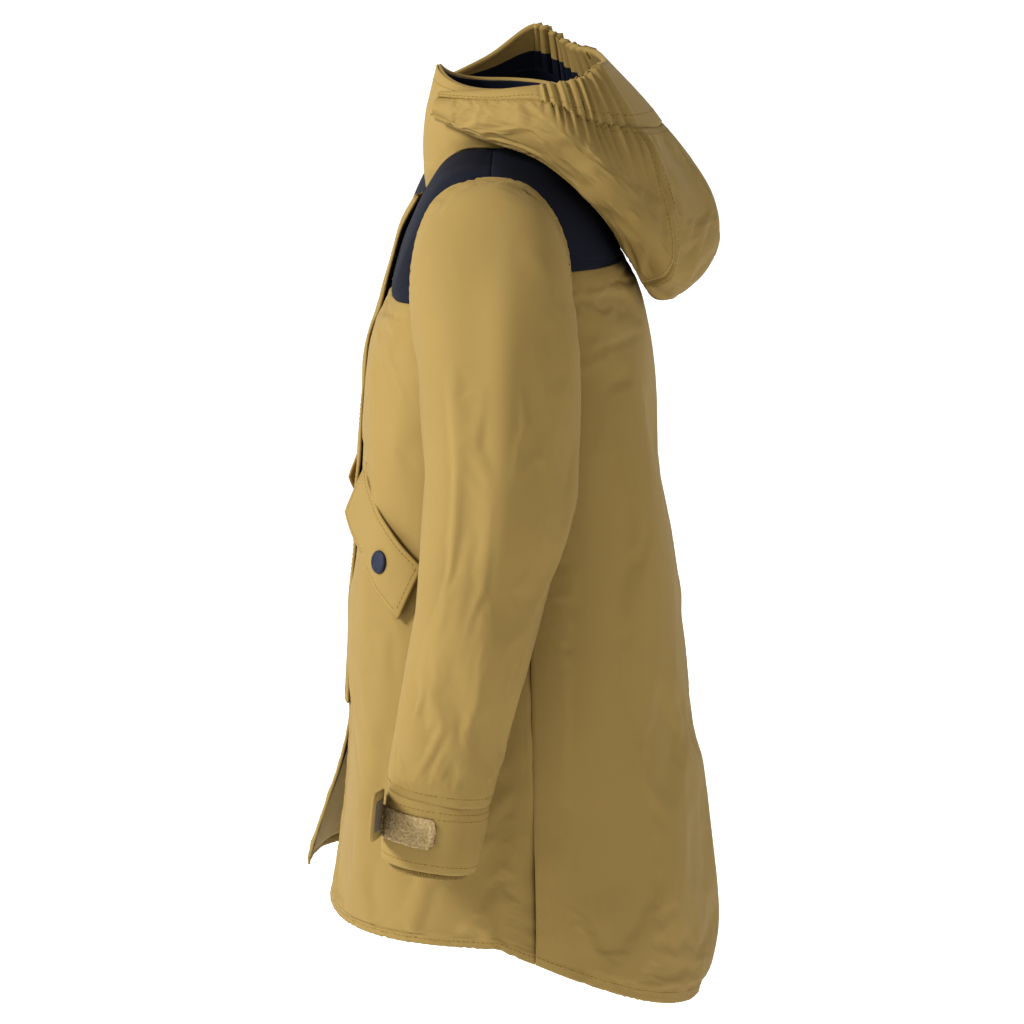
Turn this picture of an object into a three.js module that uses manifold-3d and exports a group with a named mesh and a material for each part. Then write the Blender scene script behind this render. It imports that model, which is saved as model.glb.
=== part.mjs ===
// A child's hooded parka, drawn as it hangs on a wearer.
// Millimetres, +Z up. The front faces -Y and the wearer's left is +X.
// The origin is inside the neck, level with the side of the neck seam.

import * as THREE from 'three';
import { mergeVertices } from 'three/addons/utils/BufferGeometryUtils.js';
import Module from 'manifold-3d';

const wasm = await Module();
wasm.setup();

// ---------------------------------------------------------------- dimensions

const FABRIC = 1.2;            // thickness of a shell or lining fabric
const GAP = 0.5;               // room between pieces that touch on the real coat
const MIDDLE_Y = -8;           // fore-aft middle of the body rings

// The body is a stack of rings from the neck seam to the hem. Each ring gives its
// centre-front point (y, z), its side point (x, z), its centre-back point (y, z)
// and how square its front and its back are (2 is an ellipse).
const BODY_RINGS = [
  { front: [-58, -38], side: [68, 3], back: [46, 6], square: [2.2, 2.2] },
  { front: [-69, -57], side: [102, -2], back: [60, -24], square: [3.0, 2.5] },
  { front: [-78, -88], side: [135, -10], back: [73, -58], square: [4.0, 2.7] },
  { front: [-83, -108], side: [143, -42], back: [82, -88], square: [4.0, 2.8] },
  { front: [-93, -150], side: [155, -150], back: [95, -150], square: [3.8, 3.0] },
  { front: [-102, -290], side: [168, -290], back: [112, -290], square: [3.8, 2.9] },
  { front: [-108, -400], side: [184, -400], back: [127, -405], square: [3.6, 2.8] },
  { front: [-117, -470], side: [195, -470], back: [139, -515], square: [3.2, 2.6] },
  { front: [-123, -504], side: [199, -511], back: [131, -571], square: [3.0, 2.6] },
];
const HEM = BODY_RINGS.length - 1;
const SHOULDER_ROUND = { front: 4, back: 1.2 };  // 1 is a straight slope off the shoulder
const FRONT_YOKE_Z = -92;      // height of the seam under the front yokes
const BACK_YOKE_Z = -72;       // height of the seam under the back yoke
const SIDE_SEAM = 97;          // angle of the side seam, from the centre front
const SHOULDER_SEAM = 88;      // angle of the shoulder seam
const FRONT_EDGE_X = 6;        // half the distance between the closed fronts
const HEM_EDGE_X = 56;         // the same at the hem, where the fronts spread
const ZIP_END_Z = -377;        // lower end of the zip
const FRONT_SWING = 18;        // the right front hangs this much further forward at the hem
const LINING_DEPTH = 15;       // front lining behind the shell, clear of the pocket bags
const BACK_LINING_DEPTH = 8;
const PADDING = [3.2, 5.8];        // near and far face of the padding behind the shell

const ARMHOLE = { y: -13.5, z: -82, halfWidth: 53, halfHeight: 74, square: 2.4 };

// The sleeve is a stack of rings from the armhole to the cuff. Each ring gives its
// outer point (x, z), its inner point (x, z), its middle y, half its depth, and how
// much higher its front edge is than its middle.
const SLEEVE_RINGS = [
  { outer: [137, -9.5], inner: [156, -149], y: -13.5, half: 51, tilt: 0 },
  { outer: [190, -26], inner: [158.5, -161], y: -12.5, half: 53.5, tilt: 0 },
  { outer: [228, -90], inner: [162, -178], y: -8.5, half: 52, tilt: 0 },
  { outer: [246, -180], inner: [167, -224], y: -9, half: 48.5, tilt: 0 },
  { outer: [252, -280], inner: [175, -286], y: -20, half: 43, tilt: 1 },
  { outer: [255, -374], inner: [188, -370], y: -42, half: 36, tilt: 5 },
  { outer: [257, -448], inner: [200, -445], y: -53.5, half: 31.5, tilt: 5 },
];
const WRIST = SLEEVE_RINGS.length - 1;
const CUFF_START = 5.4;        // ring number of the cuff seam
const SLEEVE_SQUARE = 2.3;

const COLLAR_TOP = { front: [-48, 54], side: [58, 41], back: [37, 39] };
const COLLAR_BULGE = 5;        // how far the collar's front swells between foot and top
const COLLAR_EDGE = 7;         // angle of the collar's front edges

// The lowered hood, as profiles from its front end round to the centre back.
// Each profile runs from the neck seam, under the bag and up over it to the rim.
const HOOD_PROFILES = [
  [[50, -46, 22], [55, -49, 21], [60, -50, 24], [64, -50, 30], [63, -48, 36], [60, -45, 40]],
  [[72, -16, 13], [78, -18, 11], [85, -18, 11], [92, -16, 22], [90, -14, 34], [85, -12, 43]],
  [[77, 16, 14], [90, 17, 5], [104, 20, -2], [114, 22, 14], [108, 22, 34], [96, 20, 47]],
  [[64, 54, 12], [82, 56, -20], [101, 59, -37], [114, 72, -28], [104, 58, 14], [90, 46, 51]],
  [[32, 60, 8], [46, 76, -40], [58, 90, -86], [78, 112, -72], [70, 92, 0], [62, 60, 58]],
  [[0, 60, 8], [0, 77, -44], [0, 100, -104], [0, 141, -62], [0, 115, 0], [0, 66, 57]],
];
const FAR_RIM_LIFT = [0, 12, 28, 11, 2];  // how much higher the right side of the rim stands

const PALETTE = {
  shell: { color: 0xb5944f, roughness: 0.72, metalness: 0 },
  navy: { color: 0x24283a, roughness: 0.65, metalness: 0 },
  lining: { color: 0x1f2433, roughness: 0.45, metalness: 0 },
  padding: { color: 0xe9e7df, roughness: 0.95, metalness: 0 },
  rib: { color: 0xa88745, roughness: 0.9, metalness: 0 },
  elastic: { color: 0xcfc4a4, roughness: 0.85, metalness: 0 },
  tape: { color: 0x23252e, roughness: 0.8, metalness: 0 },
  coil: { color: 0x1b1c22, roughness: 0.4, metalness: 0 },
  snap: { color: 0x3a3d50, roughness: 0.35, metalness: 0.2 },
  metal: { color: 0x6d6f75, roughness: 0.3, metalness: 0.9 },
  fastener: { color: 0xc0a372, roughness: 1, metalness: 0 },
};

// ---------------------------------------------------------------- small tools

const lerp = THREE.MathUtils.lerp;
const radians = THREE.MathUtils.degToRad;
const vector = (x, y, z) => new THREE.Vector3(x, y, z);

// A smooth curve through a list of numbers, read at a fractional position.
function smoothThrough(values, at) {
  const last = values.length - 1;
  const i = THREE.MathUtils.clamp(Math.floor(at), 0, last - 1);
  const u = at - i;
  const [p1, p2] = [values[i], values[i + 1]];
  const p0 = i > 0 ? values[i - 1] : 2 * p1 - p2;
  const p3 = i + 2 <= last ? values[i + 2] : 2 * p2 - p1;
  const bend = 2 * p0 - 5 * p1 + 4 * p2 - p3;
  return 0.5 * (2 * p1 + (p2 - p0) * u + bend * u * u + (3 * p1 - p0 - 3 * p2 + p3) * u ** 3);
}

// Finds where a falling function reaches a target.
function solveFalling(fn, target, low, high) {
  for (let step = 0; step < 40; step++) {
    const middle = (low + high) / 2;
    if (fn(middle) > target) low = middle;
    else high = middle;
  }
  return (low + high) / 2;
}

// Radius of a squared ellipse with half axes a and b, at an angle from b's axis.
function squaredRadius(angle, a, b, square) {
  const across = Math.abs(Math.sin(angle)) / a;
  const along = Math.abs(Math.cos(angle)) / b;
  return (across ** square + along ** square) ** (-1 / square);
}

// Outward normal of a surface whose u runs anticlockwise from above and v downward.
function surfaceNormal(surface, u, v) {
  const step = 1e-3;
  const du = surface(u + step, v).sub(surface(u - step, v));
  const dv = surface(u, v + step).sub(surface(u, v - step));
  return dv.cross(du).normalize();
}

function geometryFrom(points, triangles) {
  const geometry = new THREE.BufferGeometry();
  const positions = points.flatMap((point) => point.toArray());
  geometry.setAttribute('position', new THREE.Float32BufferAttribute(positions, 3));
  geometry.setIndex(signedVolume(points, triangles) < 0 ? triangles.toReversed() : triangles);
  return geometry;
}

function signedVolume(points, triangles) {
  let volume = 0;
  for (let i = 0; i < triangles.length; i += 3) {
    const [a, b, c] = [0, 1, 2].map((k) => points[triangles[i + k]]);
    volume += a.dot(b.clone().cross(c)) / 6;
  }
  return volume;
}

// A sheet with thickness: the surface offset to `outer` and to `inner` along its
// normal, closed along its edges. A wrapped sheet joins its last column to its first.
function slab(surface, across, down, outer, inner, wrapped = false) {
  const columns = wrapped ? across : across + 1;
  const points = [];
  for (const side of [outer, inner]) {
    for (let j = 0; j <= down; j++) {
      for (let i = 0; i < columns; i++) {
        const [u, v] = [i / across, j / down];
        const depth = typeof side === 'function' ? side(u, v) : side;
        points.push(surface(u, v).addScaledVector(surfaceNormal(surface, u, v), depth));
      }
    }
  }
  const face = (down + 1) * columns;
  const at = (side, i, j) => side * face + j * columns + (i % columns);
  const triangles = [];
  const quad = (a, b, c, d) => triangles.push(a, b, c, a, c, d);
  for (let j = 0; j < down; j++) {
    for (let i = 0; i < across; i++) {
      quad(at(0, i, j), at(0, i, j + 1), at(0, i + 1, j + 1), at(0, i + 1, j));
      quad(at(1, i, j), at(1, i + 1, j), at(1, i + 1, j + 1), at(1, i, j + 1));
    }
  }
  for (let i = 0; i < across; i++) {
    quad(at(0, i, 0), at(0, i + 1, 0), at(1, i + 1, 0), at(1, i, 0));
    quad(at(0, i, down), at(1, i, down), at(1, i + 1, down), at(0, i + 1, down));
  }
  for (let j = 0; j < down && !wrapped; j++) {
    quad(at(0, 0, j), at(1, 0, j), at(1, 0, j + 1), at(0, 0, j + 1));
    quad(at(0, across, j), at(0, across, j + 1), at(1, across, j + 1), at(1, across, j));
  }
  return geometryFrom(points, triangles);
}

// A copy with positions only, whose equal vertices are merged.
function weld(geometry) {
  const bare = geometry.clone();
  bare.deleteAttribute('normal');
  bare.deleteAttribute('uv');
  return mergeVertices(bare, 1e-3);
}

function toManifold(geometry) {
  const merged = weld(geometry);
  const mesh = new wasm.Mesh({
    numProp: 3,
    vertProperties: new Float32Array(merged.attributes.position.array),
    triVerts: new Uint32Array(merged.index.array),
  });
  return new wasm.Manifold(mesh);
}

function fromManifold(solid) {
  const mesh = solid.getMesh();
  const geometry = new THREE.BufferGeometry();
  geometry.setAttribute('position', new THREE.Float32BufferAttribute(mesh.vertProperties, 3));
  geometry.setIndex(Array.from(mesh.triVerts));
  return geometry;
}

function cut(geometry, ...cutters) {
  let solid = toManifold(geometry);
  for (const cutter of cutters) solid = solid.subtract(toManifold(cutter));
  return fromManifold(solid);
}

// The same shape on the wearer's other side.
function mirrored(geometry) {
  const copy = weld(geometry).scale(-1, 1, 1);
  copy.setIndex(Array.from(copy.index.array).reverse());
  return copy;
}

const coat = new THREE.Group();

function add(name, finish, geometry) {
  const mesh = new THREE.Mesh(geometry, new THREE.MeshStandardMaterial(PALETTE[finish]));
  mesh.name = name;
  coat.add(mesh);
}

function addPair(name, finish, leftGeometry) {
  add(`${name}_left`, finish, leftGeometry);
  add(`${name}_right`, finish, mirrored(leftGeometry));
}

// ---------------------------------------------------------------- body surface

function ringValue(part, index, level) {
  return smoothThrough(BODY_RINGS.map((ring) => ring[part][index]), level);
}

// Angle 0 is the centre front, +90 the wearer's left side, 180 the centre back.
function bodyPoint(degrees, level) {
  const angle = radians(degrees);
  const isFront = Math.cos(angle) > 0;
  const end = isFront ? 'front' : 'back';
  const depth = Math.abs(ringValue(end, 0, level) - MIDDLE_Y);
  const square = ringValue('square', isFront ? 0 : 1, level);
  const radius = squaredRadius(angle, ringValue('side', 0, level), depth, square);
  const reach = radius * Math.cos(angle);
  const share = (Math.abs(reach) / depth) ** lerp(SHOULDER_ROUND[end], 1, level / HEM);
  return vector(
    radius * Math.sin(angle),
    MIDDLE_Y - reach,
    lerp(ringValue('side', 1, level), ringValue(end, 1, level), share),
  );
}

function levelAtHeight(degrees, z) {
  return solveFalling((level) => bodyPoint(degrees, level).z, z, 0, HEM);
}

// Angle where the body surface is x from the centre plane, on the front.
function frontAngleAt(x, level) {
  return solveFalling((degrees) => -bodyPoint(degrees, level).x, -x, 0, 80);
}

// The fronts run parallel down to the zip's end and spread from there to the hem.
function frontEdge(level) {
  const z = bodyPoint(0, level).z;
  const hemZ = BODY_RINGS[HEM].front[1];
  const spread = THREE.MathUtils.clamp((z - ZIP_END_Z) / (hemZ - ZIP_END_Z), 0, 1);
  return frontAngleAt(lerp(FRONT_EDGE_X, HEM_EDGE_X, spread), level);
}

// A patch of the body between two levels and two angles, which may vary.
function bodyPatch({ top, bottom, left, right }) {
  return (u, v) => {
    const guess = lerp(left(0), right(0), u);
    const level = lerp(top(guess), bottom(guess), v);
    return bodyPoint(lerp(left(level), right(level), u), level);
  };
}

const constant = (value) => () => value;

// ---------------------------------------------------------------- armholes

function armholePoint(angle, shrink) {
  const { y, z, halfWidth, halfHeight, square } = ARMHOLE;
  const radius = squaredRadius(angle, halfWidth - shrink, halfHeight - shrink, square);
  return new THREE.Vector2(y + radius * Math.sin(angle), z + radius * Math.cos(angle));
}

// A long block along X with the armhole's outline, to cut the body panels with.
function armholeCutter() {
  const sides = 28;
  const points = [];
  for (let i = 0; i < sides; i++) points.push(armholePoint((2 * Math.PI * i) / sides, 0));
  const reach = 150;
  const block = new THREE.ExtrudeGeometry(new THREE.Shape(points), {
    depth: reach,
    bevelEnabled: false,
  });
  block.applyMatrix4(new THREE.Matrix4().makeBasis(vector(0, 1, 0), vector(0, 0, 1), vector(1, 0, 0)));
  return block.translate(90, 0, 0);
}

const ARMHOLE_CUTTER = armholeCutter();

// ---------------------------------------------------------------- body panels

const FRONT_COLUMNS = 9;
const PANEL_ROWS = 9;
const YOKE_ROWS = 4;
const SEAM = 0.12;             // gap along a seam, in degrees or level steps

const frontBelowYoke = bodyPatch({
  top: (angle) => levelAtHeight(angle, FRONT_YOKE_Z - GAP),
  bottom: constant(HEM),
  left: frontEdge,
  right: constant(SIDE_SEAM - SEAM),
});
const frontAboveYoke = bodyPatch({
  top: constant(0),
  bottom: (angle) => levelAtHeight(angle, FRONT_YOKE_Z + GAP),
  left: frontEdge,
  right: constant(SHOULDER_SEAM - 2 * SEAM),
});
const backBelowYoke = bodyPatch({
  top: (angle) => levelAtHeight(angle, BACK_YOKE_Z - GAP),
  bottom: constant(HEM),
  left: constant(SIDE_SEAM + SEAM),
  right: constant(360 - SIDE_SEAM - SEAM),
});
const backAboveYoke = bodyPatch({
  top: constant(0),
  bottom: (angle) => levelAtHeight(angle, BACK_YOKE_Z + GAP),
  left: constant(SHOULDER_SEAM + 2 * SEAM),
  right: constant(360 - SHOULDER_SEAM - 2 * SEAM),
});

function cutBothArmholes(geometry) {
  return cut(geometry, ARMHOLE_CUTTER, mirrored(ARMHOLE_CUTTER));
}

// ---------------------------------------------------------------- pocket

// Corners of the slanted flap, as (angle, height): sewn edge, then free edge.
const FLAP_SEWN = [[50, -203], [73, -264]];
const FLAP_FREE = [[44, -238], [68, -298]];
const FLAP_LIFT = [3.4, 5];    // flap between these distances outside the shell
const BAG_DEPTH = [4, 14];     // pocket bag between these distances inside the shell

// u runs along the sewn edge, v from the sewn edge towards the free edge and beyond.
function pocketSurface(u, v) {
  const corner = (k) => lerp(
    lerp(FLAP_SEWN[0][k], FLAP_SEWN[1][k], u),
    lerp(FLAP_FREE[0][k], FLAP_FREE[1][k], u),
    v,
  );
  const angle = corner(0);
  return bodyPoint(angle, levelAtHeight(angle, corner(1)));
}

function part(surface, u0, u1, v0, v1) {
  return (u, v) => surface(lerp(u0, u1, u), lerp(v0, v1, v));
}

function pocketMouth() {
  return slab(part(pocketSurface, 0.1, 0.9, 0.2, 0.46), 5, 1, 3, -8);
}

function pocketBag() {
  const wall = slab(part(pocketSurface, 0.02, 0.98, 0.08, 1.9), 5, 5, -BAG_DEPTH[0], -BAG_DEPTH[1]);
  const room = slab(
    part(pocketSurface, 0.06, 0.94, 0.14, 1.84), 5, 5, -BAG_DEPTH[0] - 1, -BAG_DEPTH[1] + 1,
  );
  return cut(wall, room, pocketMouth());
}

// Places a shape drawn about +Z on a surface, standing along its normal.
function stoodOn(geometry, surface, u, v, lift) {
  const normal = surfaceNormal(surface, u, v);
  const turn = new THREE.Quaternion().setFromUnitVectors(vector(0, 0, 1), normal);
  const place = surface(u, v).addScaledVector(normal, lift);
  return geometry.applyQuaternion(turn).translate(...place.toArray());
}

const SNAP = { u: 0.68, v: 0.54, capRadius: 7.8, socketRadius: 5.2, studRadius: 4.4 };

function turned(profile, sides = 20) {
  const points = profile.map(([radius, height]) => new THREE.Vector2(radius, height));
  return new THREE.LatheGeometry(points, sides).rotateX(Math.PI / 2);
}

function snapCap() {
  const r = SNAP.capRadius;
  return turned([[0, 0], [r, 0], [r, 0.8], [r - 1, 1.9], [r - 2.2, 1.7], [0, 1.5]]);
}

function snapDisc(radius, height) {
  return turned([[0, 0], [radius, 0], [radius, height], [0, height]], 14);
}

// Below the zip the right front hangs further forward than the left one.
function swungForward(geometry) {
  const position = geometry.attributes.position;
  for (let i = 0; i < position.count; i++) {
    const low = THREE.MathUtils.smoothstep(-position.getZ(i), -ZIP_END_Z, 510);
    const inward = THREE.MathUtils.smoothstep(position.getX(i), -195, -120);
    position.setY(i, position.getY(i) - FRONT_SWING * low * inward);
  }
  return geometry;
}

function addFrontPair(name, finish, leftGeometry) {
  add(`${name}_left`, finish, leftGeometry);
  add(`${name}_right`, finish, swungForward(mirrored(leftGeometry)));
}

function buildBody() {
  const frontPanel = slab(frontBelowYoke, FRONT_COLUMNS, PANEL_ROWS, 0, -FABRIC);
  addFrontPair('front_panel', 'shell', cut(frontPanel, ARMHOLE_CUTTER, pocketMouth()));
  const frontYoke = slab(frontAboveYoke, FRONT_COLUMNS, YOKE_ROWS, 0, -FABRIC);
  addPair('front_yoke', 'navy', cut(frontYoke, ARMHOLE_CUTTER));
  const backPanel = slab(backBelowYoke, 2 * FRONT_COLUMNS, PANEL_ROWS, 0, -FABRIC);
  add('back_panel', 'shell', cutBothArmholes(backPanel));
  const backYoke = slab(backAboveYoke, 2 * FRONT_COLUMNS, YOKE_ROWS, 0, -FABRIC);
  add('back_yoke', 'navy', cutBothArmholes(backYoke));
}

// The linings leave the zip clear in front and stop above the shell's hem.
const LINING_EDGE = 14;        // further from the centre front than the shell's edge, degrees
const LINING_HEM = HEM - 0.25;

function buildLinings() {
  const front = bodyPatch({
    top: constant(0.04),
    bottom: constant(LINING_HEM),
    left: (level) => frontEdge(level) + LINING_EDGE,
    right: constant(SIDE_SEAM - 6 * SEAM),
  });
  const frontDepth = (u, v) => lerp(5, LINING_DEPTH, Math.min(1, 4 * v, 5 * (1 - v)));
  const outer = (u, v) => -frontDepth(u, v);
  const inner = (u, v) => -frontDepth(u, v) - FABRIC;
  const frontLining = slab(front, 8, 8, outer, inner);
  addFrontPair('front_lining', 'lining', cut(frontLining, ARMHOLE_CUTTER));
  const back = bodyPatch({
    top: constant(0.04),
    bottom: constant(LINING_HEM),
    left: constant(SIDE_SEAM + 6 * SEAM),
    right: constant(360 - SIDE_SEAM - 6 * SEAM),
  });
  const backLining = slab(back, 16, 7, -BACK_LINING_DEPTH, -BACK_LINING_DEPTH - FABRIC);
  add('back_lining', 'lining', cutBothArmholes(backLining));
  const padding = bodyPatch({
    top: (angle) => levelAtHeight(angle, BACK_YOKE_Z - 8),
    bottom: constant(LINING_HEM),
    left: constant(SIDE_SEAM + 20),
    right: constant(360 - SIDE_SEAM - 20),
  });
  const backPadding = slab(padding, 12, 6, -PADDING[0], -PADDING[1]);
  add('back_padding', 'padding', cutBothArmholes(backPadding));
}

function buildPockets() {
  addPair('pocket_bag', 'lining', pocketBag());
  addPair('pocket_flap', 'shell', slab(pocketSurface, 7, 2, FLAP_LIFT[1], FLAP_LIFT[0]));
  const seat = [pocketSurface, SNAP.u, SNAP.v];
  addPair('pocket_snap_cap', 'snap', stoodOn(snapCap(), ...seat, FLAP_LIFT[1] + 0.5));
  const socket = snapDisc(SNAP.socketRadius, 0.8);
  addPair('pocket_snap_socket', 'metal', stoodOn(socket, ...seat, FLAP_LIFT[0] - 1.3));
  addPair('pocket_snap_stud', 'metal', stoodOn(snapDisc(SNAP.studRadius, 0.9), ...seat, 0.4));
}

// ---------------------------------------------------------------- sleeves

function sleeveValue(read, level) {
  return smoothThrough(SLEEVE_RINGS.map(read), level);
}

// The body surface's x beside a given y and z, on the wearer's left.
function bodySideX(y, z) {
  const angle = solveFalling(
    (degrees) => -bodyPoint(degrees, levelAtHeight(degrees, z)).y, -y, 55, 150,
  );
  return bodyPoint(angle, levelAtHeight(angle, z)).x;
}

const CAP_BLEND = 0.35;        // the cap leaves the body's shape within this many rings
const CAP_INNER_X = 114;       // the cap reaches no further over the shoulder than this

// u goes round the sleeve from its outer side to the back; v runs down it.
function sleeveSurface(fromLevel, toLevel) {
  return (u, v) => {
    const level = lerp(fromLevel, toLevel, v);
    const angle = -2 * Math.PI * u;
    const outer = [0, 1].map((k) => sleeveValue((ring) => ring.outer[k], level));
    const inner = [0, 1].map((k) => sleeveValue((ring) => ring.inner[k], level));
    const reach = Math.hypot(outer[0] - inner[0], outer[1] - inner[1]) / 2;
    const half = sleeveValue((ring) => ring.half, level);
    const radius = squaredRadius(angle, half, reach, SLEEVE_SQUARE);
    const share = (radius * Math.cos(angle)) / reach;
    const y = sleeveValue((ring) => ring.y, level) - radius * Math.sin(angle);
    const tilt = sleeveValue((ring) => ring.tilt, level);
    const x = lerp(inner[0], outer[0], (share + 1) / 2);
    const z = lerp(inner[1], outer[1], (share + 1) / 2) + (tilt * radius * Math.sin(angle)) / half;
    const free = THREE.MathUtils.smoothstep(level, 0, CAP_BLEND);
    return vector(free < 1 ? lerp(Math.max(bodySideX(y, z) + 1.5, CAP_INNER_X), x, free) : x, y, z);
  };
}

const SLEEVE_SIDES = 16;

function tube(fromLevel, toLevel, rows, outer, inner) {
  return slab(sleeveSurface(fromLevel, toLevel), SLEEVE_SIDES, rows, outer, inner, true);
}

// The tab stands open at the front edge of the cuff, hinged along `down`.
const TAB = { length: 40, width: 30, thick: 2.2, corner: 8 };
const TAB_U = 0.79;
const TAB_OUT = vector(0.99, -0.1, 0);
const TAB_HOOK = { length: 26, width: 20, thick: 1 };

function roundedPlate(length, width, thick, corner) {
  const shape = new THREE.Shape();
  const half = width / 2;
  shape.moveTo(0, -half);
  shape.lineTo(length - corner, -half);
  shape.absarc(length - corner, corner - half, corner, -Math.PI / 2, 0, false);
  shape.absarc(length - corner, half - corner, corner, 0, Math.PI / 2, false);
  shape.lineTo(0, half);
  return new THREE.ExtrudeGeometry(shape, { depth: thick, bevelEnabled: false, curveSegments: 5 });
}

function tabFrame(cuff) {
  const down = cuff(TAB_U, 0.9).sub(cuff(TAB_U, 0.1)).normalize();
  const out = TAB_OUT.clone().addScaledVector(down, -TAB_OUT.dot(down)).normalize();
  const back = out.clone().cross(down);
  const root = cuff(TAB_U, 0.34).addScaledVector(surfaceNormal(cuff, TAB_U, 0.34), 1.6);
  return { down, out, back, root };
}

function onTab(geometry, { down, out, back, root }, outward, lift) {
  const place = root.clone().addScaledVector(out, outward).addScaledVector(back, lift);
  geometry.applyMatrix4(new THREE.Matrix4().makeBasis(out, down, back));
  return geometry.translate(...place.toArray());
}

function buildSleeves() {
  const cuffBottom = WRIST;
  addPair('sleeve', 'shell', tube(0, CUFF_START - 0.01, 10, 0, -FABRIC));
  addPair('sleeve_lining', 'lining', tube(0.45, WRIST - 0.35, 7, -5, -5 - FABRIC));
  addPair('cuff', 'shell', tube(CUFF_START, cuffBottom, 2, 0, -2.2));
  addPair('rib_cuff', 'rib', tube(WRIST - 0.3, WRIST + 0.06, 2, -5.5, -7.5));
  const cuff = sleeveSurface(CUFF_START, cuffBottom);
  const loop = part(cuff, 0.84, 1.06, 0.22, 0.64);
  addPair('cuff_loop', 'fastener', slab(loop, 5, 1, 1.6, 0.5));
  const frame = tabFrame(cuff);
  const plate = roundedPlate(TAB.length, TAB.width, TAB.thick, TAB.corner);
  addPair('cuff_tab', 'shell', onTab(plate, frame, 1.5, -TAB.thick));
  const hook = roundedPlate(TAB_HOOK.length, TAB_HOOK.width, TAB_HOOK.thick, 4);
  addPair('cuff_hook', 'fastener', onTab(hook, frame, 10, 0.4));
}

// ---------------------------------------------------------------- collar

function collarPoint(degrees, rise) {
  const foot = bodyPoint(degrees, 0);
  const angle = radians(degrees);
  const end = Math.cos(angle) > 0 ? 'front' : 'back';
  const depth = Math.abs(COLLAR_TOP[end][0] - MIDDLE_Y);
  const radius = squaredRadius(angle, COLLAR_TOP.side[0], depth, 2.2);
  const top = vector(
    radius * Math.sin(angle),
    MIDDLE_Y - radius * Math.cos(angle),
    lerp(COLLAR_TOP.side[1], COLLAR_TOP[end][1], Math.cos(angle) ** 2),
  );
  const bulge = COLLAR_BULGE * Math.sin(Math.PI * rise) * Math.max(0, Math.cos(angle));
  return foot.multiply(vector(0.96, 0.96, 1)).lerp(top, rise).add(vector(0, -bulge, 0));
}

const COLLAR_FOOT = 0.02;

function collarSurface(u, v) {
  return collarPoint(lerp(COLLAR_EDGE, 360 - COLLAR_EDGE, u), lerp(1, COLLAR_FOOT, v));
}

// A flat loop of tape, sewn at both ends inside the back of the collar.
const LOOP = { width: 56, drop: 16, strip: 5, thick: 1.5 };

function hangLoop() {
  const half = LOOP.width / 2;
  const outline = new THREE.Shape();
  outline.moveTo(-half, 0);
  outline.lineTo(-half, -LOOP.drop + 6);
  outline.absarc(-half + 6, -LOOP.drop + 6, 6, Math.PI, 1.5 * Math.PI, false);
  outline.absarc(half - 6, -LOOP.drop + 6, 6, 1.5 * Math.PI, 2 * Math.PI, false);
  outline.lineTo(half, 0);
  outline.lineTo(half - LOOP.strip, 0);
  outline.lineTo(half - LOOP.strip, -LOOP.drop + LOOP.strip);
  outline.lineTo(-half + LOOP.strip, -LOOP.drop + LOOP.strip);
  outline.lineTo(-half + LOOP.strip, 0);
  const strip = new THREE.ExtrudeGeometry(outline, {
    depth: LOOP.thick,
    bevelEnabled: false,
    curveSegments: 3,
  });
  return strip.rotateX(Math.PI / 2);
}

function buildCollar() {
  add('collar', 'shell', slab(collarSurface, 18, 3, 0, -FABRIC));
  add('collar_lining', 'lining', slab(part(collarSurface, 0.01, 0.99, 0.02, 0.98), 18, 3, -4, -5.2));
  add('hang_loop', 'tape', hangLoop().translate(0, 28.2, 34));
}

// ---------------------------------------------------------------- zip and storm flap

// The zip follows one large arc down the front, so that its slider swings on it.
const ZIP_ARC = { radius: 1500, y: 1398.7, z: -390 };
const ZIP_TOP_Z = -78;
const TAPE = { inner: 2.9, outer: 15, thick: 0.8 };
const COIL = { inner: 0.9, outer: 2.5, thick: 2.4 };
const SLIDER = { width: 9, height: 11, plate: 1.2, web: 0.7 };

// A strip along the zip between two distances from its middle; v runs down.
function zipStrip(x0, x1, topZ, bottomZ) {
  return (u, v) => {
    const z = lerp(topZ, bottomZ, v);
    const back = Math.sqrt(ZIP_ARC.radius ** 2 - (z - ZIP_ARC.z) ** 2);
    return vector(lerp(x0, x1, u), ZIP_ARC.y - back, z);
  };
}

function zipSlider() {
  const { width, height, plate, web } = SLIDER;
  const clear = COIL.thick / 2 + GAP;
  const front = new THREE.BoxGeometry(width, plate, height).translate(0, -clear - plate / 2, 0);
  const rear = new THREE.BoxGeometry(width, plate, height).translate(0, clear + plate / 2, 0);
  const bridge = new THREE.BoxGeometry(web, 2 * clear + plate, height / 2);
  const lug = new THREE.BoxGeometry(2, 1.6, 4).translate(0, -clear - plate - 0.6, 1);
  const solid = [front, rear, bridge, lug].map(toManifold).reduce((sum, piece) => sum.add(piece));
  return fromManifold(solid);
}

// The pull hangs from the slider's lug in front of its plate.
const PULL = { width: 6, length: 24, thick: 1.4, slot: 3 };

function zipPull() {
  const { width, length, thick, slot } = PULL;
  const shape = new THREE.Shape();
  shape.moveTo(-width / 2, 3.6);
  shape.lineTo(-width / 2, 3 - length);
  shape.absarc(0, 3 - length, width / 2, Math.PI, 2 * Math.PI, false);
  shape.lineTo(width / 2, 3.6);
  const eye = new THREE.Path();
  eye.moveTo(-slot / 2, 2.6);
  eye.lineTo(slot / 2, 2.6);
  eye.lineTo(slot / 2, -2.6);
  eye.lineTo(-slot / 2, -2.6);
  shape.holes.push(eye);
  const plate = new THREE.ExtrudeGeometry(shape, {
    depth: thick,
    bevelEnabled: false,
    curveSegments: 4,
  });
  return plate.rotateX(Math.PI / 2);
}

// The storm flap lies over the zip from the neck to the zip's end.
const STORM = { halfWidth: 24, lift: [3.2, 4.6], topZ: -40 };
const PAD = { width: 9, height: 26, inner: 12 };

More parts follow.
